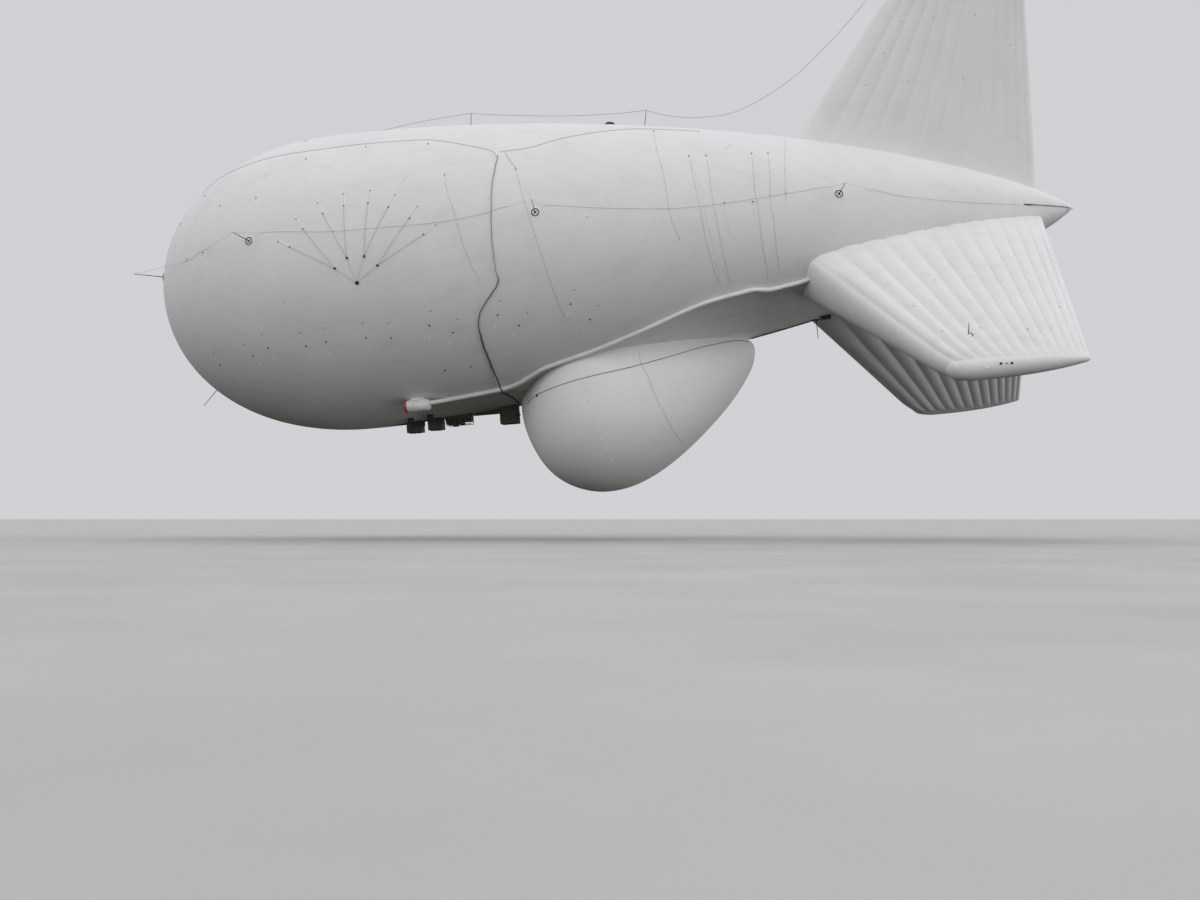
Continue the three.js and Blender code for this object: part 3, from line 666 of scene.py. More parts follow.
def make_envelope():
    stations = [
        NOSE_TO_WIDEST * (1 - math.cos(math.pi / 2 * t) ** (2 / NOSE_POWER))
        for t in steps(SKIN_NOSE_ROWS)[1:]
    ]
    for t in steps(SKIN_TAIL_ROWS)[1:-1]:
        stations.append(lerp(NOSE_TO_WIDEST, HULL_LENGTH, t + TAIL_CROWDING * math.sin(math.pi * t)))
    shape = Shape()
    shape.grid([envelope_row(x) for x in stations])
    shape.piece("envelope_skin", hull_fabric, "envelope_fabric", replaces=["envelope"])
    return shape.watch()


envelope = make_envelope()


# Keel panels, with soft slack between their battens

PANEL_SLACK = 0.012
PANEL_BATTEN = 1.2
PANEL_ROW = 0.08
PANEL_COLUMNS = 14


def make_keel_panel(end, front, back, finish):
    rows = []
    for t in steps(int((back - front) / PANEL_ROW)):
        x = lerp(front, back, t)
        wave = abs(math.sin(math.pi * x / PANEL_BATTEN))
        shares = [i / PANEL_COLUMNS for i in range(-PANEL_COLUMNS, PANEL_COLUMNS + 1)]
        slack = PANEL_SLACK * wave
        rows.append([keel_point(x, -keel_half(x) * s, slack * math.sin(math.pi * abs(s))) for s in shares])
    shape = Shape()
    shape.grid(rows, closed=False)
    shape.piece(f"keel_panel_{end}", finish, "fairing_fabric", replaces=[f"keel_fairing_{end}"])


make_keel_panel("front", KEEL_FRONT, KEEL_SPLIT, dark_front_panel_fabric)
make_keel_panel("rear", KEEL_SPLIT, KEEL_BACK, panel_fabric)


# Radome

RADOME_PULL = 0.45
RADOME_PULL_DEPTH = 0.5
RADOME_PULL_FRONT = 23.4
RADOME_BURIED = 0.08


def radome_pull(x, below):
    """How far forward the back of the radome is drawn, close under the keel panels."""
    along = held((x - RADOME_PULL_FRONT) / (RADOME_BACK - RADOME_PULL_FRONT))
    return RADOME_PULL * eased(along) * held(1 - below / RADOME_PULL_DEPTH) ** 2


def radome_row(share, around):
    travel = (1 - math.cos(math.pi * share)) / 2
    x = lerp(RADOME_FRONT, RADOME_BACK, travel)
    half, widest, bottom = (softly(RADOME_ROWS, column, share) for column in (1, 2, 3))
    seam = keel_depth(x, half)
    tuck = math.acos(min(half / widest, 1))
    middle = (seam + bottom * math.sin(tuck)) / (1 + math.sin(tuck))
    row = []
    for t in steps(around):
        turn = -tuck + (math.pi + 2 * tuck) * t
        y, z = widest * math.cos(turn), -middle - (bottom - middle) * math.sin(turn)
        back = radome_pull(x, -z - keel_depth(x, y))
        row.append(Vector((x - back - NOSE_TO_ORIGIN, y, z)))
    return [row[0] - DOWN * RADOME_BURIED, *row, row[-1] - DOWN * RADOME_BURIED]


def make_radome():
    shape = Shape()
    shape.grid([radome_row(t, 72) for t in steps(110)])
    shape.piece("radome_skin", radome_fabric, "radome_fabric", replaces=["radome"])
    return shape.watch()


radome = make_radome()


# Fins

NOSE_STEPS = 10
LOBE_STEPS = 10
TIP_STEPS = 10
LOBE_NARROWING = 0.6
FIN_BURIED = 0.45
TIP_FADE = 0.05
ROOT_FADE = 0.25
ROOT_BULGE = 0.25
CORNER_START = 8.75
CORNER_END = 9.65
CORNER_BACK = 0.3
CORNER_SHARE = 0.3
# name, turn from straight up, side to which the root is shifted, sweep of the trailing edge at the
# tip, depth of the lobes, fabric
FINS = [
    ("fin_top", 0, 0, 0.29, 0.07, shaded_top_fin_fabric),
    ("fin_lower_port", 180 - LOWER_FIN_ANGLE, 1, -0.15, 0.2, fin_fabric),
    ("fin_lower_starboard", 180 + LOWER_FIN_ANGLE, -1, -0.15, 0.2, fin_fabric),
]


def lobe_ends():
    ends = [0.0]
    for i in range(FIN_LOBES):
        ends.append(ends[-1] + 1 - LOBE_NARROWING * (i / (FIN_LOBES - 1)) ** 2)
    return [end / ends[-1] for end in ends]


def chord_stations():
    """Places along the chord: turn round the nose, chord share, bulge and trailing round."""
    stations = [(90 * k / NOSE_STEPS, 0, 0, 1) for k in range(NOSE_STEPS)]
    ends = lobe_ends()
    for i, (low, high) in enumerate(zip(ends, ends[1:])):
        for k in range(LOBE_STEPS):
            t = k / LOBE_STEPS
            close = math.sqrt(1 - t**3) if i == FIN_LOBES - 1 else 1
            stations.append((None, lerp(low, high, t), (high - low) * (4 * t * (1 - t)) ** 0.75, close))
    stations.append((None, 1, 0, 0.02))
    return stations


def fin_point(station, outline, depth):
    front, back, reach_front, reach_back, half, nose = outline
    turn, share, bulge, close = station
    if turn is not None:
        x = front + nose * (1 - math.cos(math.radians(turn)))
        return x, reach_front, FIN_NOSE_THICKNESS * half * math.sin(math.radians(turn))
    x = lerp(front + nose, back, share)
    swell = lerp(FIN_NOSE_THICKNESS, 1, min(1, share / FIN_SWELL_PART) ** 0.6)
    thin = 1 - (1 - FIN_THIN_END) * share**FIN_THIN_POWER
    proud = depth * bulge * (back - front)
    return x, lerp(reach_front, reach_back, share), (half * swell * thin + proud) * close


def bulge_at(part):
    """The share of the lobes' full bulge: it fades towards the hull and at the tip."""
    return lerp(ROOT_BULGE, 1, eased(held(part / ROOT_FADE))) * held((1 - part) / TIP_FADE) ** 0.6


def corner_shift(reach, share):
    """How far back the front corner of the tip is rounded."""
    out = held((reach - CORNER_START) / (CORNER_END - CORNER_START))
    return CORNER_BACK * out**2 * held(1 - share / CORNER_SHARE) ** 2


def fin_row(part, tip_turn, rise, sweep, lobes):
    """One ring of a fin that stands straight up: part runs from root to tip."""
    root = (FIN_ROOT_FRONT, FIN_BACK, FIN_ROOT_REACH, FIN_BACK_REACH, FIN_ROOT_HALF, FIN_ROOT_NOSE)
    tip = (FIN_TIP_FRONT, FIN_BACK + sweep, FIN_TIP_REACH, FIN_TIP_REACH, FIN_TIP_HALF, FIN_TIP_NOSE)
    right, left = [], []
    for station in chord_stations():
        low_x, low_reach, low_half = fin_point(station, root, lobes * bulge_at(part))
        high_x, high_reach, high_half = fin_point(station, tip, lobes * bulge_at(part))
        here = part
        if part < 0:
            buried = FIN_BURIED * hull_radius(min(low_x, HULL_LENGTH - 0.2))
            here = (buried - low_reach) / (high_reach - low_reach)
        half = lerp(low_half, high_half, here)
        reach = lerp(low_reach, high_reach, here) + half * math.sin(tip_turn)
        x = lerp(low_x, high_x, here) + corner_shift(reach, station[1]) - NOSE_TO_ORIGIN
        middle = rise * FIN_ROOT_RISE * low_reach * (1 - max(here, 0))
        right.append(Vector((x, middle - half * math.cos(tip_turn), reach)))
        left.append(Vector((x, middle + half * math.cos(tip_turn), reach)))
    return right + left[:0:-1]


# Rings from the root, buried in the hull at the first one, to the tip
FIN_PARTS = [-1, 0, 0.04, 0.08, 0.13, 0.19, 0.26, 0.35, 0.5, 0.65, 0.8, 0.84, 0.88, 0.92, 0.95, 0.962,
             0.974, 0.984, 0.992, 0.997, 1]


def make_fin(name, turn, rise, sweep, lobes, finish):
    rows = [fin_row(part, 0, rise, sweep, lobes) for part in FIN_PARTS]
    rows += [fin_row(1, math.radians(90 * t), rise, sweep, lobes) for t in steps(TIP_STEPS)[1:]]
    about = Matrix.Rotation(math.radians(turn), 3, "X")
    shape = Shape()
    shape.grid([[about @ point for point in row] for row in rows])
    shape.piece(name + "_skin", finish, "fin_fabric", replaces=[name])
    return shape.watch()


fins = {row[0]: make_fin(*row) for row in FINS}


# Fin air ducts

DUCT_POINTS = 26
DUCT_FRONT = BLOWER_X + BLOWER_LENGTH
DUCT_START_LIFT = BLOWER_LIFT - 0.09
DUCT_TIE = 1.0


def duct_line(side):
    start = hull_point(BLOWER_X, side * BLOWER_ANGLE, DUCT_START_LIFT)
    start.x = DUCT_FRONT - NOSE_TO_ORIGIN
    points = [start, start + Vector((2 * DUCT_RADIUS, 0, 0))]
    for i in range(1, DUCT_POINTS + 1):
        x = lerp(DUCT_FRONT, DUCT_BACK, i / DUCT_POINTS)
        edge = keel_angle(x) + math.degrees(DUCT_RADIUS / hull_radius(x))
        points.append(hull_point(x, side * edge, DUCT_RADIUS * 0.8))
    return spline(points, 14)


def duct_radius(share):
    """Slightly puffed between the ties that hold the hose."""
    run = share * (DUCT_BACK - DUCT_FRONT) / DUCT_TIE
    return DUCT_RADIUS * (0.93 + 0.11 * abs(math.sin(math.pi * run)) ** 0.5)


for name, side in SIDES:
    hose = Shape()
    hose.tube(duct_line(side), duct_radius, 20)
    hose.piece(f"duct_hose_{name}", hose_fabric, "duct_fabric", replaces=[f"duct_{name}"])


# Fin blowers

MOTOR_RADIUS = 0.075
BLOWER_NECK = 0.195
BLOWER_THROAT = 0.13
BLOWER_FLOOR = 0.34
MOTOR_TOP = 0.6
RIM_DEPTH = 0.1
FAN_DEPTH = 0.13
FAN_PITCH = 35
FAN_GAP = 0.0003
# The saddle: its place as a share of the blower's length, its arc in degrees each way, its half
# width and half length, and the depths of its foot and of its straps below the blower's axis
SADDLE_PLACE = 0.55
SADDLE_SPREAD = 31
SADDLE_HALF = 0.12
SADDLE_REACH = 0.28
SADDLE_FLOOR = 0.29
SADDLE_STRAP = 0.245


def make_fan(name, node, foot, out, hub, tip, low, depth, blades):
    """A hub with a round nose and curved, twisted blades."""
    shape = Shape()
    low += FAN_GAP
    high = low + depth
    shape.turned([(0, low), (hub, low), (hub, high - 0.2 * hub), (0.8 * hub, high + 0.15 * hub),
                  (0.4 * hub, high + 0.35 * hub), (0, high + 0.4 * hub)], foot, out, 24)
    side, other = square_to(out)
    for i in range(blades):
        start = 2 * math.pi * i / blades
        for face in (-1, 1):
            rows = []
            for t in steps(8):
                reach = lerp(0.9 * hub, tip, t)
                twist = math.radians(lerp(FAN_PITCH + 18, FAN_PITCH - 8, t))
                row = []
                for c in steps(8):
                    chord = (c - 0.5) * 0.9 * depth
                    thick = 0.05 * depth * (1 - (2 * c - 1) ** 2) * face
                    turn = start + (chord * math.cos(twist) + thick * math.sin(twist)) / reach
                    height = (low + high) / 2 + chord * math.sin(twist) - thick * math.cos(twist)
                    spoke = side * math.cos(turn) + other * math.sin(turn)
                    row.append(foot + spoke * reach + out * height)
                rows.append(row)
            shape.grid(rows, closed=False)
    shape.piece(name, fan_metal, "fan_metal", body=node + "_body", replaces=[node], sharp=50)


def make_blower(name, side):
    foot = hull_point(BLOWER_X, side * BLOWER_ANGLE, BLOWER_LIFT)
    foot.x = BLOWER_X + BLOWER_LENGTH - NOSE_TO_ORIGIN
    inner, hoop, lip = BLOWER_RADIUS - BLOWER_WALL, BLOWER_RADIUS + 0.007, BLOWER_RADIUS + BLOWER_WALL
    shell = Shape()
    profile = [(0, 0), (BLOWER_NECK - 0.03, 0), (BLOWER_NECK - 0.008, 0.012), (BLOWER_NECK, 0.03),
               (BLOWER_RADIUS - 0.012, BLOWER_THROAT - 0.04), (BLOWER_RADIUS, BLOWER_THROAT)]
    for band in (0.36, 0.58, 0.8):
        profile += [(BLOWER_RADIUS, band - 0.018), (hoop, band - 0.01), (hoop, band + 0.01),
                    (BLOWER_RADIUS, band + 0.018)]
    profile += [(BLOWER_RADIUS, BLOWER_LENGTH), (inner, BLOWER_LENGTH), (inner, BLOWER_FLOOR),
                (MOTOR_RADIUS, BLOWER_FLOOR), (MOTOR_RADIUS, MOTOR_TOP), (0, MOTOR_TOP)]
    shell.turned(profile, foot, FORWARD, 48)
    down = -hull_normal(BLOWER_X, side * BLOWER_ANGLE)
    across = down.cross(FORWARD).normalized()
    saddle_foot = foot + FORWARD * SADDLE_PLACE * BLOWER_LENGTH
    wall = BLOWER_RADIUS - BLOWER_WALL / 2
    spread = [math.radians(lerp(-SADDLE_SPREAD, SADDLE_SPREAD, s)) for s in steps(8)]
    section = [(wall * math.sin(t), wall * math.cos(t)) for t in spread]
    section += [(SADDLE_HALF, SADDLE_FLOOR), (-SADDLE_HALF, SADDLE_FLOOR)]
    full = SADDLE_REACH - 0.012
    shell.grid([
        [saddle_foot + FORWARD * along + across * (u * narrow) + down * v for u, v in section]
        for along, narrow in ((-SADDLE_REACH, 0.9), (-full, 1), (full, 1), (SADDLE_REACH, 0.9))
    ])
    for along in (0.04 - SADDLE_REACH, SADDLE_REACH - 0.04):
        low, high = (along - 0.02, -0.16, SADDLE_STRAP), (along + 0.02, 0.16, SADDLE_FLOOR - 0.01)
        shell.block(low, high, 0.008, (FORWARD, across, down), saddle_foot)
    shell.piece(f"blower_shell_{name}", housing_paint, "housing_white",
                replaces=[f"blower_housing_{name}"], sharp=40)
    rim = Shape()
    rim.turned([(inner, 0.001), (BLOWER_RADIUS + 0.008, 0.001), (lip, 0.012), (lip, RIM_DEPTH - 0.015),
                (BLOWER_RADIUS, RIM_DEPTH), (inner, RIM_DEPTH - 0.012), (inner, 0.001)],
               foot + FORWARD * BLOWER_LENGTH, FORWARD, 48, ends=False)
    rim.piece(f"blower_intake_{name}", rim_paint, "rim_red", replaces=[f"blower_rim_{name}"], sharp=40)
    make_fan(f"blower_rotor_{name}", f"blower_fan_{name}", foot, FORWARD, 0.8 * MOTOR_RADIUS, inner - 0.025,
             MOTOR_TOP, FAN_DEPTH - FAN_GAP, 6)


for name, side in SIDES:
    make_blower(name, side)


# Ballonet blowers: open cans on the keel panels, each with its fan

CAN_RADIUS = 0.12
CAN_FLOOR = 0.015
CAN_HEIGHT = 0.115
CAN_BURIED = 0.3
CAN_Y = 0.75
STUB_RADIUS = 0.02
STUB_TOP = CAN_FLOOR + 0.01
CAN_FAN_DEPTH = 0.045
CANS = [("front", 10.32), ("rear", 11.16)]


def make_can(place, x, name, side):
    round_depth = math.sqrt(hull_radius(x) ** 2 - CAN_Y**2)
    foot = Vector((x - NOSE_TO_ORIGIN, -side * CAN_Y, -round_depth))
    bore, bead, flange = CAN_RADIUS - BLOWER_WALL, CAN_RADIUS + 0.006, CAN_RADIUS + 0.02
    seat = keel_depth(x, CAN_Y) - round_depth
    can = Shape()
    can.turned([(0, -CAN_BURIED), (CAN_RADIUS, -CAN_BURIED), (CAN_RADIUS, seat), (flange, seat + 0.004),
                (flange, seat + 0.012), (CAN_RADIUS, seat + 0.016), (CAN_RADIUS, CAN_HEIGHT - 0.02),
                (bead, CAN_HEIGHT - 0.014), (bead, CAN_HEIGHT - 0.004), (CAN_RADIUS, CAN_HEIGHT),
                (bore, CAN_HEIGHT), (bore, CAN_FLOOR), (STUB_RADIUS, CAN_FLOOR), (STUB_RADIUS, STUB_TOP),
                (0, STUB_TOP)], foot, DOWN, 40)
    can.piece(f"ballonet_can_{place}_{name}", black_metal, "blower_metal",
              replaces=[f"ballonet_blower_{place}_{name}"], sharp=40)
    make_fan(f"ballonet_rotor_{place}_{name}", f"ballonet_fan_{place}_{name}", foot, DOWN,
             0.9 * STUB_RADIUS, CAN_RADIUS - 2 * BLOWER_WALL, STUB_TOP, CAN_FAN_DEPTH, 5)


for place, x in CANS:
    for name, side in SIDES:
        make_can(place, x, name, side)


# Keel equipment: boxes that hang under the fold of the keel panels

BOX_EDGE = 0.012
BOX_BURIED = 0.3


def side_blocks(shape, low, high, inset, count, half, bottom, top, out, edge):
    """Upright blocks on both long sides of a box."""
    for t in steps(count - 1):
        x = lerp(low.x + inset, high.x - inset, t)
        for face, way in ((low.y, -1), (high.y, 1)):
            near, far = sorted((face - way * 0.01, face + way * out))
            shape.block((x - half, near, bottom), (x + half, far, top), edge)


def side_ribs(shape, low, high, count, out):
    side_blocks(shape, low, high, 0.05, count, 0.012, low.z + 0.04, high.z - BOX_BURIED - 0.05, out, 0.004)


def latches(shape, low, high, height):
    side_blocks(shape, low, high, 0.12, 2, 0.02, height - 0.035, height + 0.035, 0.022, 0.005)


def band(shape, low, high, out, bottom, top):
    """A band that goes round a box."""
    shape.block((low.x - out, low.y - out, bottom), (high.x + out, high.y + out, top), 0.004)


def hanger(shape, x, half, low_z, high_z):
    """A strap that goes round a box, from the keel down one side and up the other."""
    wide, thick = 0.025, 0.008
    for side in (-1, 1):
        near, far = sorted((side * half, side * (half + thick)))
        shape.block((x - wide, near, low_z - thick), (x + wide, far, high_z), 0.002)
    shape.block((x - wide, -half, low_z - thick), (x + wide, half, low_z), 0.002)


def power_box(shape, low, high, ribs):
    lid = lerp(low.z, high.z - BOX_BURIED, 0.62)
    shape.block(low, high, BOX_EDGE)
    band(shape, low, high, 0.012, lid - 0.012, lid + 0.012)
    side_ribs(shape, low, high, ribs, 0.016)
    latches(shape, low, high, lid)
    for x in (low.x + 0.2, high.x - 0.2):
        hanger(shape, x, high.y + 0.014, low.z, high.z)
    gland = Vector((high.x - 0.16, -0.12, low.z))
    shape.turned([(0, 0), (0.055, 0), (0.055, 0.03), (0.035, 0.045), (0, 0.045)], gland, DOWN, 20)


# share of the way back where a unit starts and ends, its half width and height over the bottom
RACK_UNITS = [
    (0.0, 0.2, 0.2, 0.1),
    (0.23, 0.42, 0.16, 0.0),
    (0.46, 0.66, 0.21, 0.06),
    (0.7, 0.97, 0.18, 0.15),
]


def open_rack(shape, low, high):
    """A spine box with units of several sizes and a pipe frame."""
    spine_low = low.z + 0.27
    shape.block((low.x, low.y + 0.04, spine_low), (high.x, high.y - 0.04, high.z), BOX_EDGE)
    for start, end, half, rise in RACK_UNITS:
        front, back, middle = (lerp(low.x, high.x, t) for t in (start, end, (start + end) / 2))
        shape.block((front, -half, low.z + rise), (back, half, spine_low + 0.01), BOX_EDGE)
        knob = Vector((middle, -half, low.z + rise + 0.08))
        shape.turned([(0, 0), (0.03, 0), (0.03, 0.03), (0, 0.03)], knob, Vector((0, -1, 0)), 12)
    front, back, bottom, top = low.x + 0.03, high.x - 0.03, low.z + 0.05, high.z - 0.31
    for y in (-0.2, 0.2):
        corners = ((front, top), (front, bottom), (back, bottom), (back, top))
        frame_line = [Vector((x, y, z)) for x, z in corners]
        for pipe in zip(frame_line, frame_line[1:]):
            shape.tube(pipe, 0.014)


def tray(shape, low, high):
    shape.block(low, high, 0.006)
    for t in steps(9):
        x = lerp(low.x + 0.02, high.x - 0.02, t)
        shape.block((x - 0.012, low.y - 0.02, low.z), (x + 0.012, high.y + 0.02, low.z + 0.03), 0.004)
    for y in (-0.05, 0.0, 0.05):
        shape.tube([
            Vector((
                lerp(low.x - 0.03, high.x + 0.03, t),
                y + 0.012 * math.sin(9 * t + 20 * y),
                low.z - 0.014,
            ))
            for t in steps(24)
        ], 0.016)


def control_box(shape, low, high):
    shape.block(low, high, BOX_EDGE)
    side_ribs(shape, low, high, 4, 0.014)
    for height in (0.2, 0.46):
        band(shape, low, high, 0.01, low.z + height, low.z + height + 0.03)
    latches(shape, low, high, low.z + 0.34)
    plug = [(0, 0), (0.07, 0), (0.07, 0.05), (0.03, 0.06), (0.03, 0.12), (0, 0.12)]
    shape.turned(plug, Vector((high.x, -0.1, low.z + 0.34)), BACKWARD, 20)


# A dark plate with two bolt heads, put where a step at the back of the keel panels casts shade: painted
# shadow
def dark_plate_for_shadow(shape, low, high):
    shape.block(low, high, BOX_EDGE)
    for x in (low.x + 0.06, high.x - 0.06):
        shape.turned([(0, 0), (0.025, 0), (0.025, 0.02), (0, 0.02)], Vector((x, 0, low.z)), DOWN, 6)


# node, front and back from the nose, width, depth below the fold, ending of the piece's name,
# what it is, and its ribs
KEEL_BOXES = [
    ("power_box_front", 9.95, 10.58, 0.5, 0.43, "case", power_box, 5),
    ("power_box_rear", 10.87, 11.47, 0.5, 0.44, "case", power_box, 4),
    ("telemetry_rack", 11.64, 12.74, 0.42, 0.42, "units", open_rack),
    ("cable_tray", 12.84, 13.93, 0.16, 0.11, "run", tray),
    ("control_box", 13.97, 14.69, 0.56, 0.68, "case", control_box),
    # The keel fitting is painted shadow: a dark plate under the step at the back of the keel panels
    ("keel_fitting", 27.2, 27.6, 0.3, 0.09, "plate", dark_plate_for_shadow),
]
for node, front, back, width, depth, ending, fill, *ribs in KEEL_BOXES:
    fold = keel_depth((front + back) / 2, 0)
    low = Vector((front - NOSE_TO_ORIGIN, -width / 2, -fold - depth))
    high = Vector((back - NOSE_TO_ORIGIN, width / 2, -fold + BOX_BURIED))
    box = Shape()
    fill(box, low, high, *ribs)
    box.piece(f"{node}_{ending}", olive_paint, "equipment_green", replaces=[node], sharp=35)
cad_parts["radar_block"].data.materials.clear()
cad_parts["radar_block"].data.materials.append(black_metal)


# Lightning rods: a ring on a foot plate, with the rod standing in its middle

RING_RADIUS = 0.14
PATCH_RADIUS = RING_RADIUS + 0.05
# name, x from the nose, angle from straight down towards port, length; one off the middle has a
# twin on starboard
HULL_RODS = [
    ("rod_nose", 0.73, 101, 1.15),
    ("rod_nose_lower", 1.55, 0, 1.05),
    ("rod_side_front", 6.09, 96.7, 1.0),
    ("rod_side_middle", 17.11, 96.9, 1.2),
    ("rod_side_rear", 28.14, 100.6, 0.85),
    ("rod_top_front", 13.42, 180, 0.85),
    ("rod_top_rear", 20.73, 180, 0.95),
]
KEEL_ROD_X = 27.03
KEEL_ROD_LENGTH = 0.8
FIN_ROD_X = 31.86
FIN_ROD_REACH = 8.27
FIN_ROD_LIFT = 0.57
FIN_ROD_LENGTH = 0.55
rod_tips = {}


def make_rod(name, foot, out, length):
    shape = Shape()
    shape.turned([(0, -0.06), (0.04, -0.06), (0.04, 0.016), (0.028, 0.05), (0.016, 0.06),
                  (0.014, 0.5 * length), (0.01, length - 0.03), (0.012, length - 0.02), (0, length)],
                 foot, out, 16)
    shape.ring(foot + out * 0.012, out, RING_RADIUS, 0.017, 40, 8)
    for spoke in spokes(out, 4):
        shape.tube([foot + out * 0.03 + spoke * 0.03, foot + out * 0.014 + spoke * RING_RADIUS], 0.007, 6)
    shape.piece(name + "_mast", rod_metal, "rod_metal", replaces=[name], sharp=45)
    disc = Shape()
    disc.turned([(0, -0.02), (PATCH_RADIUS, -0.02), (PATCH_RADIUS, 0.003),
                 (PATCH_RADIUS - 0.02, 0.007), (0, 0.008)], foot, out, 40)
    disc.piece(name + "_patch", tab_fabric, "envelope_fabric", sharp=45)
    rod_tips[name] = foot + out * length


for name, x, angle, length in HULL_RODS:
    for end, side in SIDES if 0 < angle < 180 else [("", 1)]:
        turn = side * angle
        make_rod(f"{name}_{end}".strip("_"), hull_point(x, turn), hull_normal(x, turn), length)
make_rod("rod_keel", keel_point(KEEL_ROD_X, 0), DOWN, KEEL_ROD_LENGTH)
for fin, turn, rise, *_ in FINS[1:]:
    about = Matrix.Rotation(math.radians(turn), 3, "X")
    spot = about @ Vector((FIN_ROD_X - NOSE_TO_ORIGIN, rise * FIN_ROD_LIFT, FIN_ROD_REACH))
    make_rod(fin.replace("fin_lower", "rod_fin"), spot, about @ Vector((0, rise, 0)), FIN_ROD_LENGTH)


# Valve, line hubs, nose plate and tail cap

VALVE_X = 19.3
HUB_X = 10.285
HUB_ANGLE = 77.3
VALVE_BOLTS = 16
VALVE_BOLT_CIRCLE = 0.262
NOSE_BOLTS = 20
NOSE_BOLT_CIRCLE = 0.55


def add_bolts(shape, head, centre, out, first, count):
    """Bolt heads on a circle, from the first one's place seen from the centre."""
    for i in range(count):
        foot = centre + Matrix.Rotation(2 * math.pi * i / count, 3, out) @ first
        shape.turned(head, foot, out, 6)


def make_fittings():
    foot, out = hull_point(VALVE_X, 180), hull_normal(VALVE_X, 180)
    valve = Shape()
    valve.turned([(0, -0.08), (0.3, -0.08), (0.3, 0.03), (0.285, 0.045), (0.235, 0.05), (0.22, 0.27),
                  (0.19, 0.31), (0.14, 0.34), (0.07, 0.355), (0, 0.36)], foot, out, 40)
    head = [(0, 0.035), (0.012, 0.035), (0.012, 0.058), (0, 0.062)]
    add_bolts(valve, head, foot, out, square_to(out)[0] * VALVE_BOLT_CIRCLE, VALVE_BOLTS)
    valve.piece("top_valve_dome", black_metal, "rod_metal", replaces=["top_valve"], sharp=40)
    for name, side in SIDES:
        spot, out = hull_point(HUB_X, side * HUB_ANGLE), hull_normal(HUB_X, side * HUB_ANGLE)
        hub = Shape()
        hub.turned([(0, -0.04), (0.075, -0.04), (0.075, 0.014), (0.068, 0.02), (0.034, 0.026),
                    (0.03, 0.055), (0.02, 0.06), (0, 0.06)], spot, out, 24)
        hub.ring(spot + out * 0.03, out, 0.055, 0.01, 24, 8)
        hub.piece(f"line_hub_boss_{name}", rod_metal, "rod_metal", replaces=[f"line_hub_{name}"], sharp=40)
    nose = Shape()
    tip = Vector((-NOSE_TO_ORIGIN, 0, 0))
    nose.turned([(0, 0.13), (0.17, 0.13), (0.18, 0.12), (0.2, 0.04), (0.24, 0.028), (0.58, -0.02),
                 (0.62, -0.04), (0.62, -0.16), (0, -0.16)], tip, FORWARD, 64)
    head = [(0, -0.03), (0.018, -0.03), (0.018, 0.004), (0, 0.01)]
    add_bolts(nose, head, tip, FORWARD, DOWN * -NOSE_BOLT_CIRCLE, NOSE_BOLTS)
    nose.piece("nose_plate_disc", nose_metal, "nose_metal", replaces=["nose_plate"], sharp=35)
    cap = Shape()
    flush = [(hull_radius(HULL_LENGTH + along) + 0.005, along) for along in (-0.19, -0.15, -0.1, -0.05)]
    end = Vector((HULL_LENGTH - NOSE_TO_ORIGIN, 0, 0))
    cap.turned([*flush, (0.06, 0.0), (0.03, 0.035), (0, 0.05)], end, BACKWARD, 32)
    cap.piece("tail_cap_shell", fin_fabric, "housing_white", replaces=["tail_cap"], sharp=40)


make_fittings()


# Signal cable down the port side, over the duct and into the keel behind the control box

CABLE_RADIUS = 0.032
CABLE_LIFT = CABLE_RADIUS + 0.002
CABLE_OVER_DUCT = 2 * DUCT_RADIUS + CABLE_LIFT + 0.015
# x from the nose, angle from straight down, height over the hull
CABLE_ROWS = [
    (15.65, 124, CABLE_LIFT),
    (15.5, 103, CABLE_LIFT),
    (15.48, 80, CABLE_LIFT),
    (15.52, 72, CABLE_LIFT),
    (14.85, 64, CABLE_LIFT),
    (14.56, 58, CABLE_LIFT),
    (14.55, 49, CABLE_LIFT),
    (14.64, 36, CABLE_LIFT + 0.016),
    (14.69, 27.2, CABLE_OVER_DUCT),
    (14.69, 23.7, CABLE_OVER_DUCT),
]
# x from the nose, distance to port, height over the keel panel
CABLE_KEEL_ROWS = [
    (14.68, 1.85, CABLE_LIFT + 0.02),
    (14.79, 1.1, CABLE_LIFT),
    (14.84, 0.5, CABLE_LIFT),
    (14.86, 0.3, 0),
]
CABLE_STEPS = 14
LEAD_RADIUS = 0.014
LEAD_STEPS = 36
ROWS_OVER_HULL = 8


def cable_radius(share):
    """Thicker below the place where the branches of the cable join."""
    return CABLE_RADIUS * lerp(0.5, 0.8, held((share - 0.25) / 0.05))


def make_cable():
    points = [hull_point(x, angle, lift) for x, angle, lift in CABLE_ROWS]
    points += [keel_point(x, -y, lift) for x, y, lift in CABLE_KEEL_ROWS]
    line = spline(points, CABLE_STEPS)
    waved = [
        point + BACKWARD * (0.009 * math.sin(0.5 * i) + 0.006 * math.sin(1.3 * i))
        for i, point in enumerate(line)
    ]
    over_hull = CABLE_STEPS * (ROWS_OVER_HULL - 1) + 1
    waved = clear_of_hull(waved[:over_hull], CABLE_LIFT) + waved[over_hull:]
    lead, cable = Shape(), Shape()
    lead.tube(waved[:LEAD_STEPS + 1], LEAD_RADIUS, 8)
    lead.piece("signal_lead", line_rope, "cable_black", replaces=["side_cable"])
    cable.tube(waved[LEAD_STEPS:], cable_radius, 10)
    cable.piece("signal_cable", cable_rubber, "cable_black", replaces=["side_cable"])


make_cable()


# Rigging on the skins: places are pixels of the photograph, and starboard mirrors port

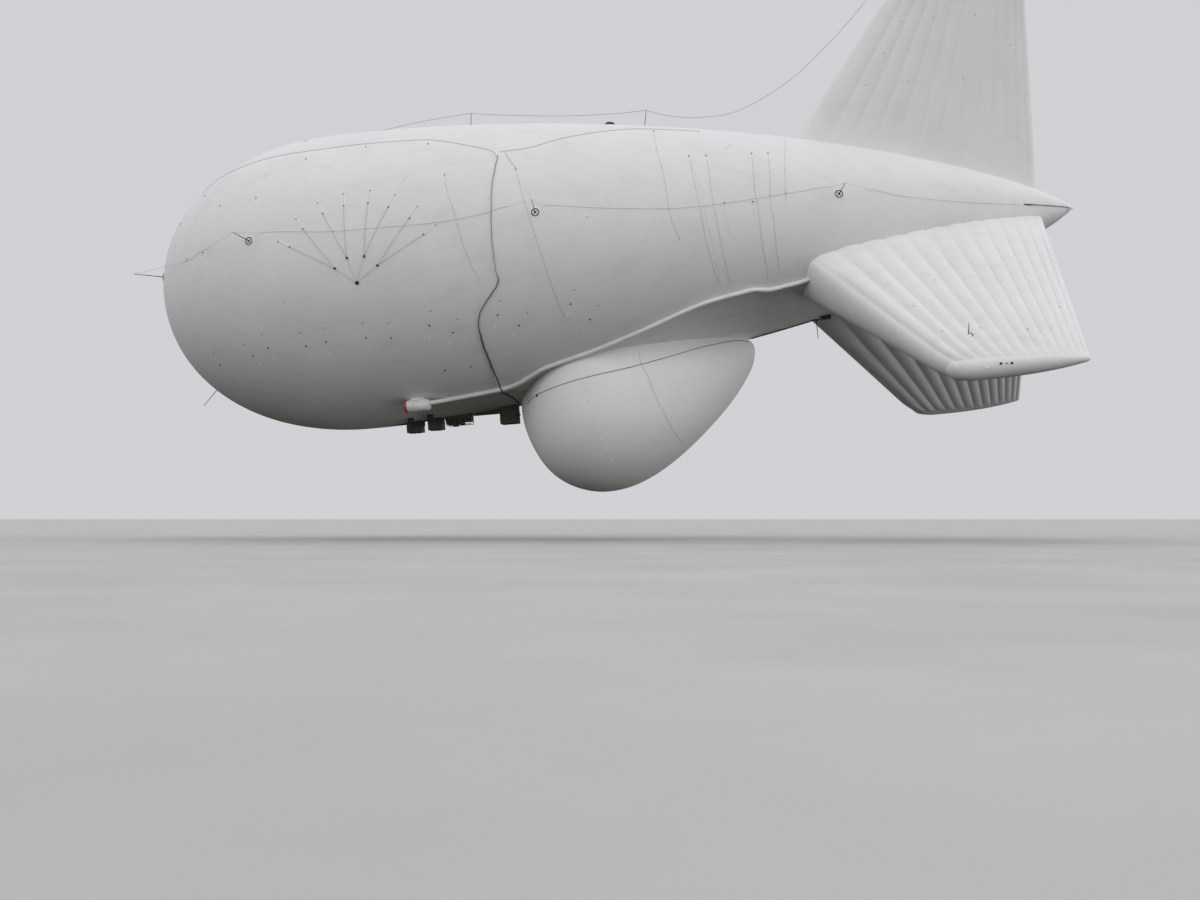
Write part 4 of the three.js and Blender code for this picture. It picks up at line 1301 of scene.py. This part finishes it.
DOT_RADIUS = 0.032
TAB_HALF = 0.05
TAB_LIFT = 0.008
LINE_RADIUS = 0.005
WIRE_RADIUS = 0.007
SIDE_WIRE_RADIUS = 0.005
FAN_LIFT = 0.03
HUB_LIFT = 0.05
SMALL_DOT = 0.022
BOTH_SIDES = (False, True)


def spot_on(pixel, mirror, *surfaces):
    """A point on the skins and the way out of it, on port or mirrored to starboard."""
    found = seen(pixel, *surfaces)
    if not mirror:
        return found
    return mirrored(found[0]), mirrored(found[1])


def hull_spot(pixel, mirror, lift):
    return on_hull(spot_on(pixel, mirror, envelope)[0], lift)


def laid(points, surface, lift, per=8):
    """A smooth line through points that lies on a skin to one side of the keel."""
    line = []
    for point in spline(points, per):
        spot, normal, _, _ = surface.tree.find_nearest(point)
        if normal.y * spot.y < 0:
            normal = -normal
        line.append(spot + normal * lift)
    return line


def hull_line(pixels, mirror, lift, per=10):
    """A line that lies on the round hull through some pixels."""
    points = [spot_on(pixel, mirror, envelope)[0] for pixel in pixels]
    return [on_hull(point, lift) for point in spline(points, per)]


def add_dot(shape, point, out, radius=DOT_RADIUS):
    """A small eyelet with a domed boss."""
    boss = [(0, -0.01), (radius, -0.01), (radius, 0.012), (0.7 * radius, 0.022), (0, 0.026)]
    shape.turned(boss, point, out, 12)


def add_tab(shape, a, b, out, half=TAB_HALF):
    """A flat fabric tab from a to b, with rounded ends."""
    ahead = (b - a).normalized()
    across = out.cross(ahead).normalized()
    rows = []
    for t in steps(12):
        wide = half * math.sqrt(max(1 - (2 * t - 1) ** 8, 0.04))
        middle = lerp(a - ahead * half, b + ahead * half, t)
        rows.append([
            middle + across * wide * k + out * TAB_LIFT * (1 - 0.5 * k * k) for k in (-1, -0.5, 0, 0.5, 1)
        ])
    shape.grid(rows, closed=False)


# Handling lines: a hub, four rings on its legs, and two patches over each ring
FAN_HUB = (356.3, 283.2)
FAN_RINGS = [(335, 268.5), (347, 258), (364.3, 256.3), (377.5, 265.5)]
# ring, outer eyelet, inner eyelet
FAN_LEGS = [
    (0, (278, 241.5), (289.5, 247)),
    (0, (296, 219), (303, 229)),
    (1, (318, 203), (322.5, 213.5)),
    (1, (343.2, 194), (343.8, 206)),
    (2, (370.2, 190.5), (368, 203)),
    (2, (395, 195), (388.2, 207)),
    (3, (417.5, 206.5), (409.5, 218)),
    (3, (435.5, 225.2), (423.8, 234.3)),
]
# Load patches low on the hull: upper and lower eyelet
LOW_PATCHES = [
    ((214, 352.5), (220, 365)),
    ((244.7, 345), (253, 356)),
    ((261.7, 334.5), (268, 348)),
    ((300, 333), (306, 346)),
    ((323, 328), (326, 342)),
    ((362.5, 323), (366, 338)),
    ((389, 323), (391, 338)),
    ((430.5, 311), (429.5, 325.5)),
    ((457.5, 319), (453, 332.5)),
    ((501, 301), (497.5, 315)),
    ((527, 313), (519, 325.5)),
    ((574, 290), (570.4, 304)),
    ((598, 305.6), (590, 319.4)),
]
LONE_PATCHES = [
    (306, 141), (366, 147), (428, 144), (205, 196), (220.5, 206), (256, 198), (181, 224), (306, 159),
    (444.5, 175), (515.5, 169), (187, 259), (203, 253), (445, 370), (471, 366),
    (653.5, 131), (689, 156), (706, 155.5), (751.5, 153.5), (768, 153.5), (724.5, 203), (753, 202),
]
# Tapes welded to the skin, with eyelets along them
PALE_TAPES = [
    [(220.5, 207), (222, 230), (223, 262), (229, 285), (237, 311)],
    [(256, 199), (258, 215), (264, 245), (271, 270), (285, 304)],
    [(306, 160), (306, 178), (310, 193), (317, 202)],
    [(428, 145), (415, 167), (400, 185), (396, 194)],
    [(691, 157), (698, 180), (706, 215), (712, 240), (722, 285)],
    [(724.5, 204), (727, 220), (731, 236)],
    [(753, 203), (756, 215), (760, 232), (765, 262)],
]
DARK_TAPES = [
    [(444.5, 176), (447, 190), (454, 212), (465, 250), (480, 282)],
    [(515.5, 170), (520, 185), (527, 210), (540, 250), (558, 302), (566, 318)],
    [(653.5, 132), (657, 151), (663, 172), (667, 196), (671, 218), (680, 240)],
    [(689, 157), (692, 170), (697, 194), (702, 218), (706, 240), (712, 262), (719, 286)],
    [(706, 156), (709, 171), (712, 195), (717, 222), (722, 247), (727, 270), (730, 285)],
    [(751.5, 154), (753, 167), (755, 191), (758, 207), (762, 240), (767, 270), (768, 279)],
    [(768, 154), (770, 175), (770, 199), (774, 222), (776, 245), (780, 274)],
    [(785, 138), (785, 150), (785, 175), (786, 201)],
]
TAPE_RADIUS = 0.009
TAPE_LINE_RADIUS = 0.0035
EYELET_STEP = 9


def make_fan_rigging(name, mirror):
    lines, dots, tabs = Shape(), Shape(), Shape()
    hub = hull_spot(FAN_HUB, mirror, HUB_LIFT)
    rings = [hull_spot(pixel, mirror, FAN_LIFT) for pixel in FAN_RINGS]
    for ring in rings:
        lines.tube(along_hull(hub, ring, FAN_LIFT), 0.8 * LINE_RADIUS, 6)
        dots.ring(ring, from_axis(ring), 0.034, 0.013, 16, 6)
        add_dot(dots, ring, from_axis(ring), 0.024)
    for index, outer, inner in FAN_LEGS:
        far, out = spot_on(outer, mirror, envelope)
        near, _ = spot_on(inner, mirror, envelope)
        lines.tube(along_hull(rings[index], near, FAN_LIFT), LINE_RADIUS, 6)
        lines.tube(along_hull(near, far, 0.014), 0.8 * LINE_RADIUS, 6)
        add_tab(tabs, far, near, out)
        add_dot(dots, far, out, 0.8 * DOT_RADIUS)
        add_dot(dots, near, out)
    lines.piece(f"fan_lines_{name}", line_rope, "cable_black")
    dots.piece(f"fan_eyelets_{name}", rod_metal, "rod_metal", sharp=40)
    tabs.piece(f"fan_tabs_{name}", tab_fabric, "envelope_fabric")


def make_load_patches(name, mirror):
    dots, tabs = Shape(), Shape()
    for upper, lower in LOW_PATCHES:
        top, out = spot_on(upper, mirror, envelope)
        foot, _ = spot_on(lower, mirror, envelope)
        end = on_hull(foot + (foot - top) * 0.9, 0)
        add_tab(tabs, top, end, out)
        add_dot(dots, top, out, 0.75 * DOT_RADIUS)
        add_dot(dots, foot, out, DOT_RADIUS)
    for pixel in LONE_PATCHES:
        spot, out = spot_on(pixel, mirror, envelope)
        below = on_hull(spot + DOWN * 0.22, 0)
        add_tab(tabs, spot, below, out, 0.04)
        add_dot(dots, spot, out)
        add_dot(dots, on_hull(spot + DOWN * 0.11, 0), out, 0.5 * DOT_RADIUS)
    dots.piece(f"load_eyelets_{name}", rod_metal, "rod_metal", sharp=40)
    tabs.piece(f"load_tabs_{name}", tab_fabric, "envelope_fabric")


def make_tapes(name, mirror):
    pale, dark, dots = Shape(), Shape(), Shape()
    for pixels in PALE_TAPES:
        pale.tube(hull_line(pixels, mirror, 0.002), TAPE_RADIUS, 6)
    for pixels in DARK_TAPES:
        line = hull_line(pixels, mirror, 0.004)
        dark.tube(line, TAPE_LINE_RADIUS, 6)
        for spot in line[EYELET_STEP::EYELET_STEP]:
            add_dot(dots, spot, from_axis(spot), 0.012)
    pale.piece(f"pale_tapes_{name}", tape_fabric, "envelope_fabric")
    dark.piece(f"load_lines_{name}", pale_wire, "cable_black")
    dots.piece(f"line_eyelets_{name}", pale_wire, "rod_metal", sharp=40)


# The line over the shoulder to the signal cable, and its branches
SHOULDER_LINES = [
    [(200, 193), (215, 182), (240, 168), (270, 158), (310, 151), (360, 144.5), (420, 140), (440, 141),
     (470, 146), (490, 150.5), (497, 156)],
    [(500, 152), (530, 147.5), (560, 139), (600, 132), (640, 129), (700, 131.5)],
    [(505, 153), (511, 162), (516, 168)],
]
# The lightning wire along the side, from rod tip to rod tip over the skin
SIDE_WIRES = [
    ("rod_nose_port", "rod_side_front_port", [(185, 262), (205, 250)]),
    ("rod_side_front_port", "rod_side_middle_port",
     [(260, 233), (325, 231.8), (375, 228), (437, 222.5), (480, 214.5), (510, 206.5)]),
    ("rod_side_middle_port", "rod_side_rear_port",
     [(545, 205.5), (600, 208), (670, 208.5), (720, 204), (760, 198), (800, 191.5), (830, 187)]),
    ("rod_side_rear_port", None, [(870, 190), (900, 196), (960, 202), (1020, 205)]),
]
CREST_WIRES = [
    [(380, 131), (420, 122), (469.6, 113.4)],
    [(469.6, 113.4), (500, 115), (560, 116), (610, 114), (645.6, 110.5)],
    [(645.6, 110.5), (670, 116), (700, 117.4), (740, 110), (790, 80), (830, 42), (860, 8), (884, -22)],
]
FIN_MAST_FOOT = Vector((15.2, 0, 9.6))


def on_crest(pixel):
    """The point that a pixel shows on the upright plane through the hull's axis."""
    direction = sight(pixel)
    return CAMERA_PLACE - direction * (CAMERA_PLACE.y / direction.y)


def make_wires():
    grey = Shape()
    for mirror in BOTH_SIDES:
        for pixels in SHOULDER_LINES:
            grey.tube(hull_line(pixels, mirror, 0.008), LINE_RADIUS * 1.2, 6)
    grey.piece("shoulder_lines", line_rope, "cable_black")
    wires = Shape()
    for mirror in BOTH_SIDES:
        turn = mirrored if mirror else Vector
        for start, end, pixels in SIDE_WIRES:
            points = [turn(rod_tips[start])]
            points += [hull_spot(pixel, mirror, 0.02) for pixel in pixels]
            if end:
                points.append(turn(rod_tips[end]))
            wires.tube(clear_of_hull(spline(points, 10), 0.01), SIDE_WIRE_RADIUS, 6)
    wires.piece("side_wires", light_wire, "rod_metal")
    crest = Shape()
    for pixels in CREST_WIRES:
        crest.tube(spline([on_crest(pixel) for pixel in pixels], 10), WIRE_RADIUS, 6)
    # The last wire ends on a short mast on the top fin's tip
    mast = on_crest(CREST_WIRES[-1][-1]) - FIN_MAST_FOOT
    outline = [(0, -0.06), (0.05, -0.06), (0.05, 0.016), (0.028, 0.05), (0.012, 0.06),
               (0.009, mast.length + 0.01), (0, mast.length + 0.015)]
    crest.turned(outline, FIN_MAST_FOOT, mast.normalized(), 12)
    crest.piece("crest_wires", wire_rope, "rod_metal")


# Small fittings: eyelets on the fins, a patch and two vents on the lower fins' tips, a bar that
# runs to the tail, and marks on the hull
TOP_FIN_DOTS = [(866, 85), (909, 82), (963, 78), (884, 53), (901, 21), (934, 18), (975, 15), (1010, 45)]
LOWER_FIN_DOTS = [
    (888, 283), (935, 280), (996, 280), (914, 306), (942, 331), (980, 328), (1028, 329), (1059, 307),
]
TIP_VENTS = [(1001, 363.5), (1012, 363)]
TIP_VENT_RADIUS = 0.045
TIP_PATCH = [(984, 366), (989, 367)]
TAIL_BAR = [(1024, 204.3), (1045, 205.5), (1062, 206.8), (1068, 207.4)]
TAIL_FORK = [(1064, 207), (1071, 208), (1066, 211)]
TAIL_FOOT = [(1024, 204.4), (1028, 204.6), (1032, 204.8)]
HULL_MARKS = [(587, 217), (679.5, 239)]
HULL_DASH = [(724, 150.5), (731, 143.8)]


def make_small_fittings():
    dots, vents, patches, bars = Shape(), Shape(), Shape(), Shape()
    lower = fins["fin_lower_port"]
    marked = ((fins["fin_top"], TOP_FIN_DOTS), (lower, LOWER_FIN_DOTS), (envelope, HULL_MARKS))
    for mirror in BOTH_SIDES:
        for skin, pixels in marked:
            for pixel in pixels:
                add_dot(dots, *spot_on(pixel, mirror, skin), SMALL_DOT)
        dots.tube(hull_line(HULL_DASH, mirror, 0.004), LINE_RADIUS, 6)
        (front, out), (back, back_out) = (spot_on(pixel, mirror, lower) for pixel in TIP_VENTS)
        add_dot(vents, front, out, TIP_VENT_RADIUS)
        add_dot(vents, back, back_out, TIP_VENT_RADIUS)
        vents.tube([lerp(front, back, t) + out * 0.012 for t in (0.38, 0.62)], 0.012, 6)
        (front, out), (back, _) = (spot_on(pixel, mirror, lower) for pixel in TIP_PATCH)
        add_tab(patches, front, back, out, 0.05)
        for pixels, radius, sides in ((TAIL_BAR, 0.012, 6), (TAIL_FORK, 0.007, 6), (TAIL_FOOT, 0.02, 8)):
            bars.tube(hull_line(pixels, mirror, 0.03), radius, sides)
    dots.piece("small_eyelets", pale_wire, "rod_metal", sharp=40)
    vents.piece("tip_vents", rod_metal, "rod_metal", sharp=40)
    patches.piece("tip_patches", tab_fabric, "fin_fabric")
    bars.piece("tail_bars", rod_metal, "rod_metal")


for name, side in SIDES:
    make_fan_rigging(name, side < 0)
    make_load_patches(name, side < 0)
    make_tapes(name, side < 0)
make_wires()
make_small_fittings()


# Radome seam: a laced line from the front, along both sides, to the back

RADOME_SEAM = [
    (527.5, 403.8), (531, 399.5), (537, 395), (550, 389), (565, 383.5), (580, 379), (600, 374),
    (625, 368.5), (650, 362), (670, 356.5), (690, 350.5), (700, 347.6), (716.7, 343.9), (733.3, 340.9),
    (742.2, 340.6), (747.8, 342.2),
]
# The middle seam is a line, and the other two are rows of stitches
RADOME_GORE = [(639, 353), (641, 363), (648.3, 377), (655, 395), (665.5, 416.6), (674, 432), (682.8, 444)]
STITCHED_GORES = [
    [(582.8, 380.3), (587.5, 397), (597.5, 427.5), (605, 447.5), (617, 471)],
    [(708.5, 347.6), (715, 368), (727, 394)],
]
STITCH_STEPS = 2
RADOME_VENT = (537, 395.4)
RADOME_VENT_RADIUS = 0.065
SEAM_RADIUS = 0.011
GORE_RADIUS = 0.007
STITCH_RADIUS = 0.012


def radome_line(pixels, mirror, lift):
    return laid([spot_on(pixel, mirror, radome)[0] for pixel in pixels], radome, lift)


def make_radome_trim():
    seam, dots, gores, stitches = Shape(), Shape(), Shape(), Shape()
    for mirror in BOTH_SIDES:
        seam.tube(radome_line(RADOME_SEAM, mirror, 0.006), SEAM_RADIUS)
        add_dot(dots, *spot_on(RADOME_VENT, mirror, radome), RADOME_VENT_RADIUS)
        gores.tube(radome_line(RADOME_GORE, mirror, 0.001), GORE_RADIUS, 6)
        for pixels in STITCHED_GORES:
            line = radome_line(pixels, mirror, 0.002)
            for start in range(0, len(line) - STITCH_STEPS, 2 * STITCH_STEPS):
                stitches.tube(line[start:start + STITCH_STEPS + 1], STITCH_RADIUS, 6)
    seam.piece("radome_seam", cable_rubber, "cable_black")
    dots.piece("radome_vent", rod_metal, "rod_metal", sharp=40)
    gores.piece("radome_gore_seam", pale_wire, "radome_fabric")
    stitches.piece("radome_stitches", tab_fabric, "radome_fabric")


make_radome_trim()


# Lacing along the fold of the keel panels

LACE_STEP = 0.09
LACE_HALF = 0.035
LACE_RADIUS = 0.011
LACE_EDGE = 0.06
LACE_EDGE_RADIUS = 0.014
# front and back of each laced stretch, from the nose
LACED = [(9.6, 15.0), (24.4, 27.4)]


def make_lacing():
    lace = Shape()
    for front, back in LACED:
        count = int((back - front) / LACE_STEP)
        zigzag = [
            keel_point(lerp(front, back, t), LACE_HALF * (1 if i % 2 else -1), 0.018)
            for i, t in enumerate(steps(count))
        ]
        lace.tube(zigzag, LACE_RADIUS, 6)
        for y in (-LACE_EDGE, LACE_EDGE):
            edge = [keel_point(lerp(front, back, t), y, 0.012) for t in steps(count)]
            lace.tube(edge, LACE_EDGE_RADIUS, 6)
    lace.piece("keel_lacing", cable_rubber, "cable_black")


make_lacing()


# Floor, sky, light and camera

def make_stage():
    finish = Finish("floor_paint", roughness=0.9, specular=0.1)
    finish.colour(finish.stain((0.5, 0.5, 0.49), finish.noise(0.3, 5), 0.3, 0.7, (0.56, 0.56, 0.55)))
    finish.bump(finish.noise(40, 3), 0.1, 0.002)
    centre = CAMERA_PLACE - LEVEL_UP * EYE_HEIGHT
    ahead, right = level_axis(0, 1, 0), level_axis(1, 0, 0)
    corners = [(-1, -1), (1, -1), (1, 1), (-1, 1)]
    mesh = bpy.data.meshes.new("floor")
    points = [centre + (right * a + ahead * b) * FLOOR_REACH for a, b in corners]
    mesh.from_pydata(points, [], [(0, 1, 2, 3)])
    mesh.materials.append(finish.material)
    floor = bpy.data.objects.new("floor", mesh)
    bpy.context.scene.collection.objects.link(floor)
    floor.visible_diffuse = False
    floor.visible_glossy = False
    floor.visible_shadow = False
    floor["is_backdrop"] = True


SKY_HORIZON = (0.63, 0.64, 0.66)
SKY_ABOVE = (0.85, 0.86, 0.875)
SKY_TURN = 0.4
HORIZON_BLUR = (-0.03, 0)
GROUND_GLOW = (0.024, 0.022, 0.017)


def make_world():
    world = bpy.data.worlds.new("soft_sky")
    bpy.context.scene.world = world
    world.use_nodes = True
    tree = world.node_tree
    direction = add_node(tree, "ShaderNodeTexCoord").outputs["Generated"]
    height = add_node(tree, "ShaderNodeVectorMath", {0: direction, 1: LEVEL_UP}, operation="DOT_PRODUCT")
    rise, over = (
        add_node(tree, "ShaderNodeMapRange",
                 {"Value": height.outputs["Value"], "From Min": start, "From Max": end})
        for start, end in ((SKY_TURN, 1), HORIZON_BLUR)
    )
    sky = mixed(tree, rise.outputs[0], SKY_HORIZON, SKY_ABOVE)
    whole = mixed(tree, over.outputs[0], GROUND_GLOW, sky)
    tree.links.new(whole, tree.nodes["Background"].inputs["Color"])


def make_light(name, away, energy, soft):
    """A sun whose light comes from a direction, as wide as soft says, in radians."""
    data = bpy.data.lights.new(name, "SUN")
    data.energy = energy
    data.angle = soft
    lamp = bpy.data.objects.new(name, data)
    lamp.rotation_mode = "QUATERNION"
    lamp.rotation_quaternion = Vector(away).to_track_quat("Z", "Y")
    bpy.context.scene.collection.objects.link(lamp)


def make_camera():
    data = bpy.data.cameras.new("photo_camera")
    data.sensor_width = SENSOR_WIDTH
    data.lens = FOCAL_PIXELS / PHOTO_WIDTH * SENSOR_WIDTH
    data.clip_end = 4 * FLOOR_REACH
    camera = bpy.data.objects.new("photo_camera", data)
    turn = Matrix((CAMERA_RIGHT, CAMERA_UP, -CAMERA_AHEAD)).transposed()
    camera.matrix_world = Matrix.Translation(CAMERA_PLACE) @ turn.to_4x4()
    bpy.context.scene.collection.objects.link(camera)
    bpy.context.scene.camera = camera


make_stage()
make_world()
make_light("soft_front", (-0.45, -0.79, 0.42), 0.74, 1.4)
make_light("soft_back", (1.0, 0.0, 0.0), 1.2, 1.4)
make_camera()
bpy.context.scene.view_settings.view_transform = "Standard"

low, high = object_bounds()
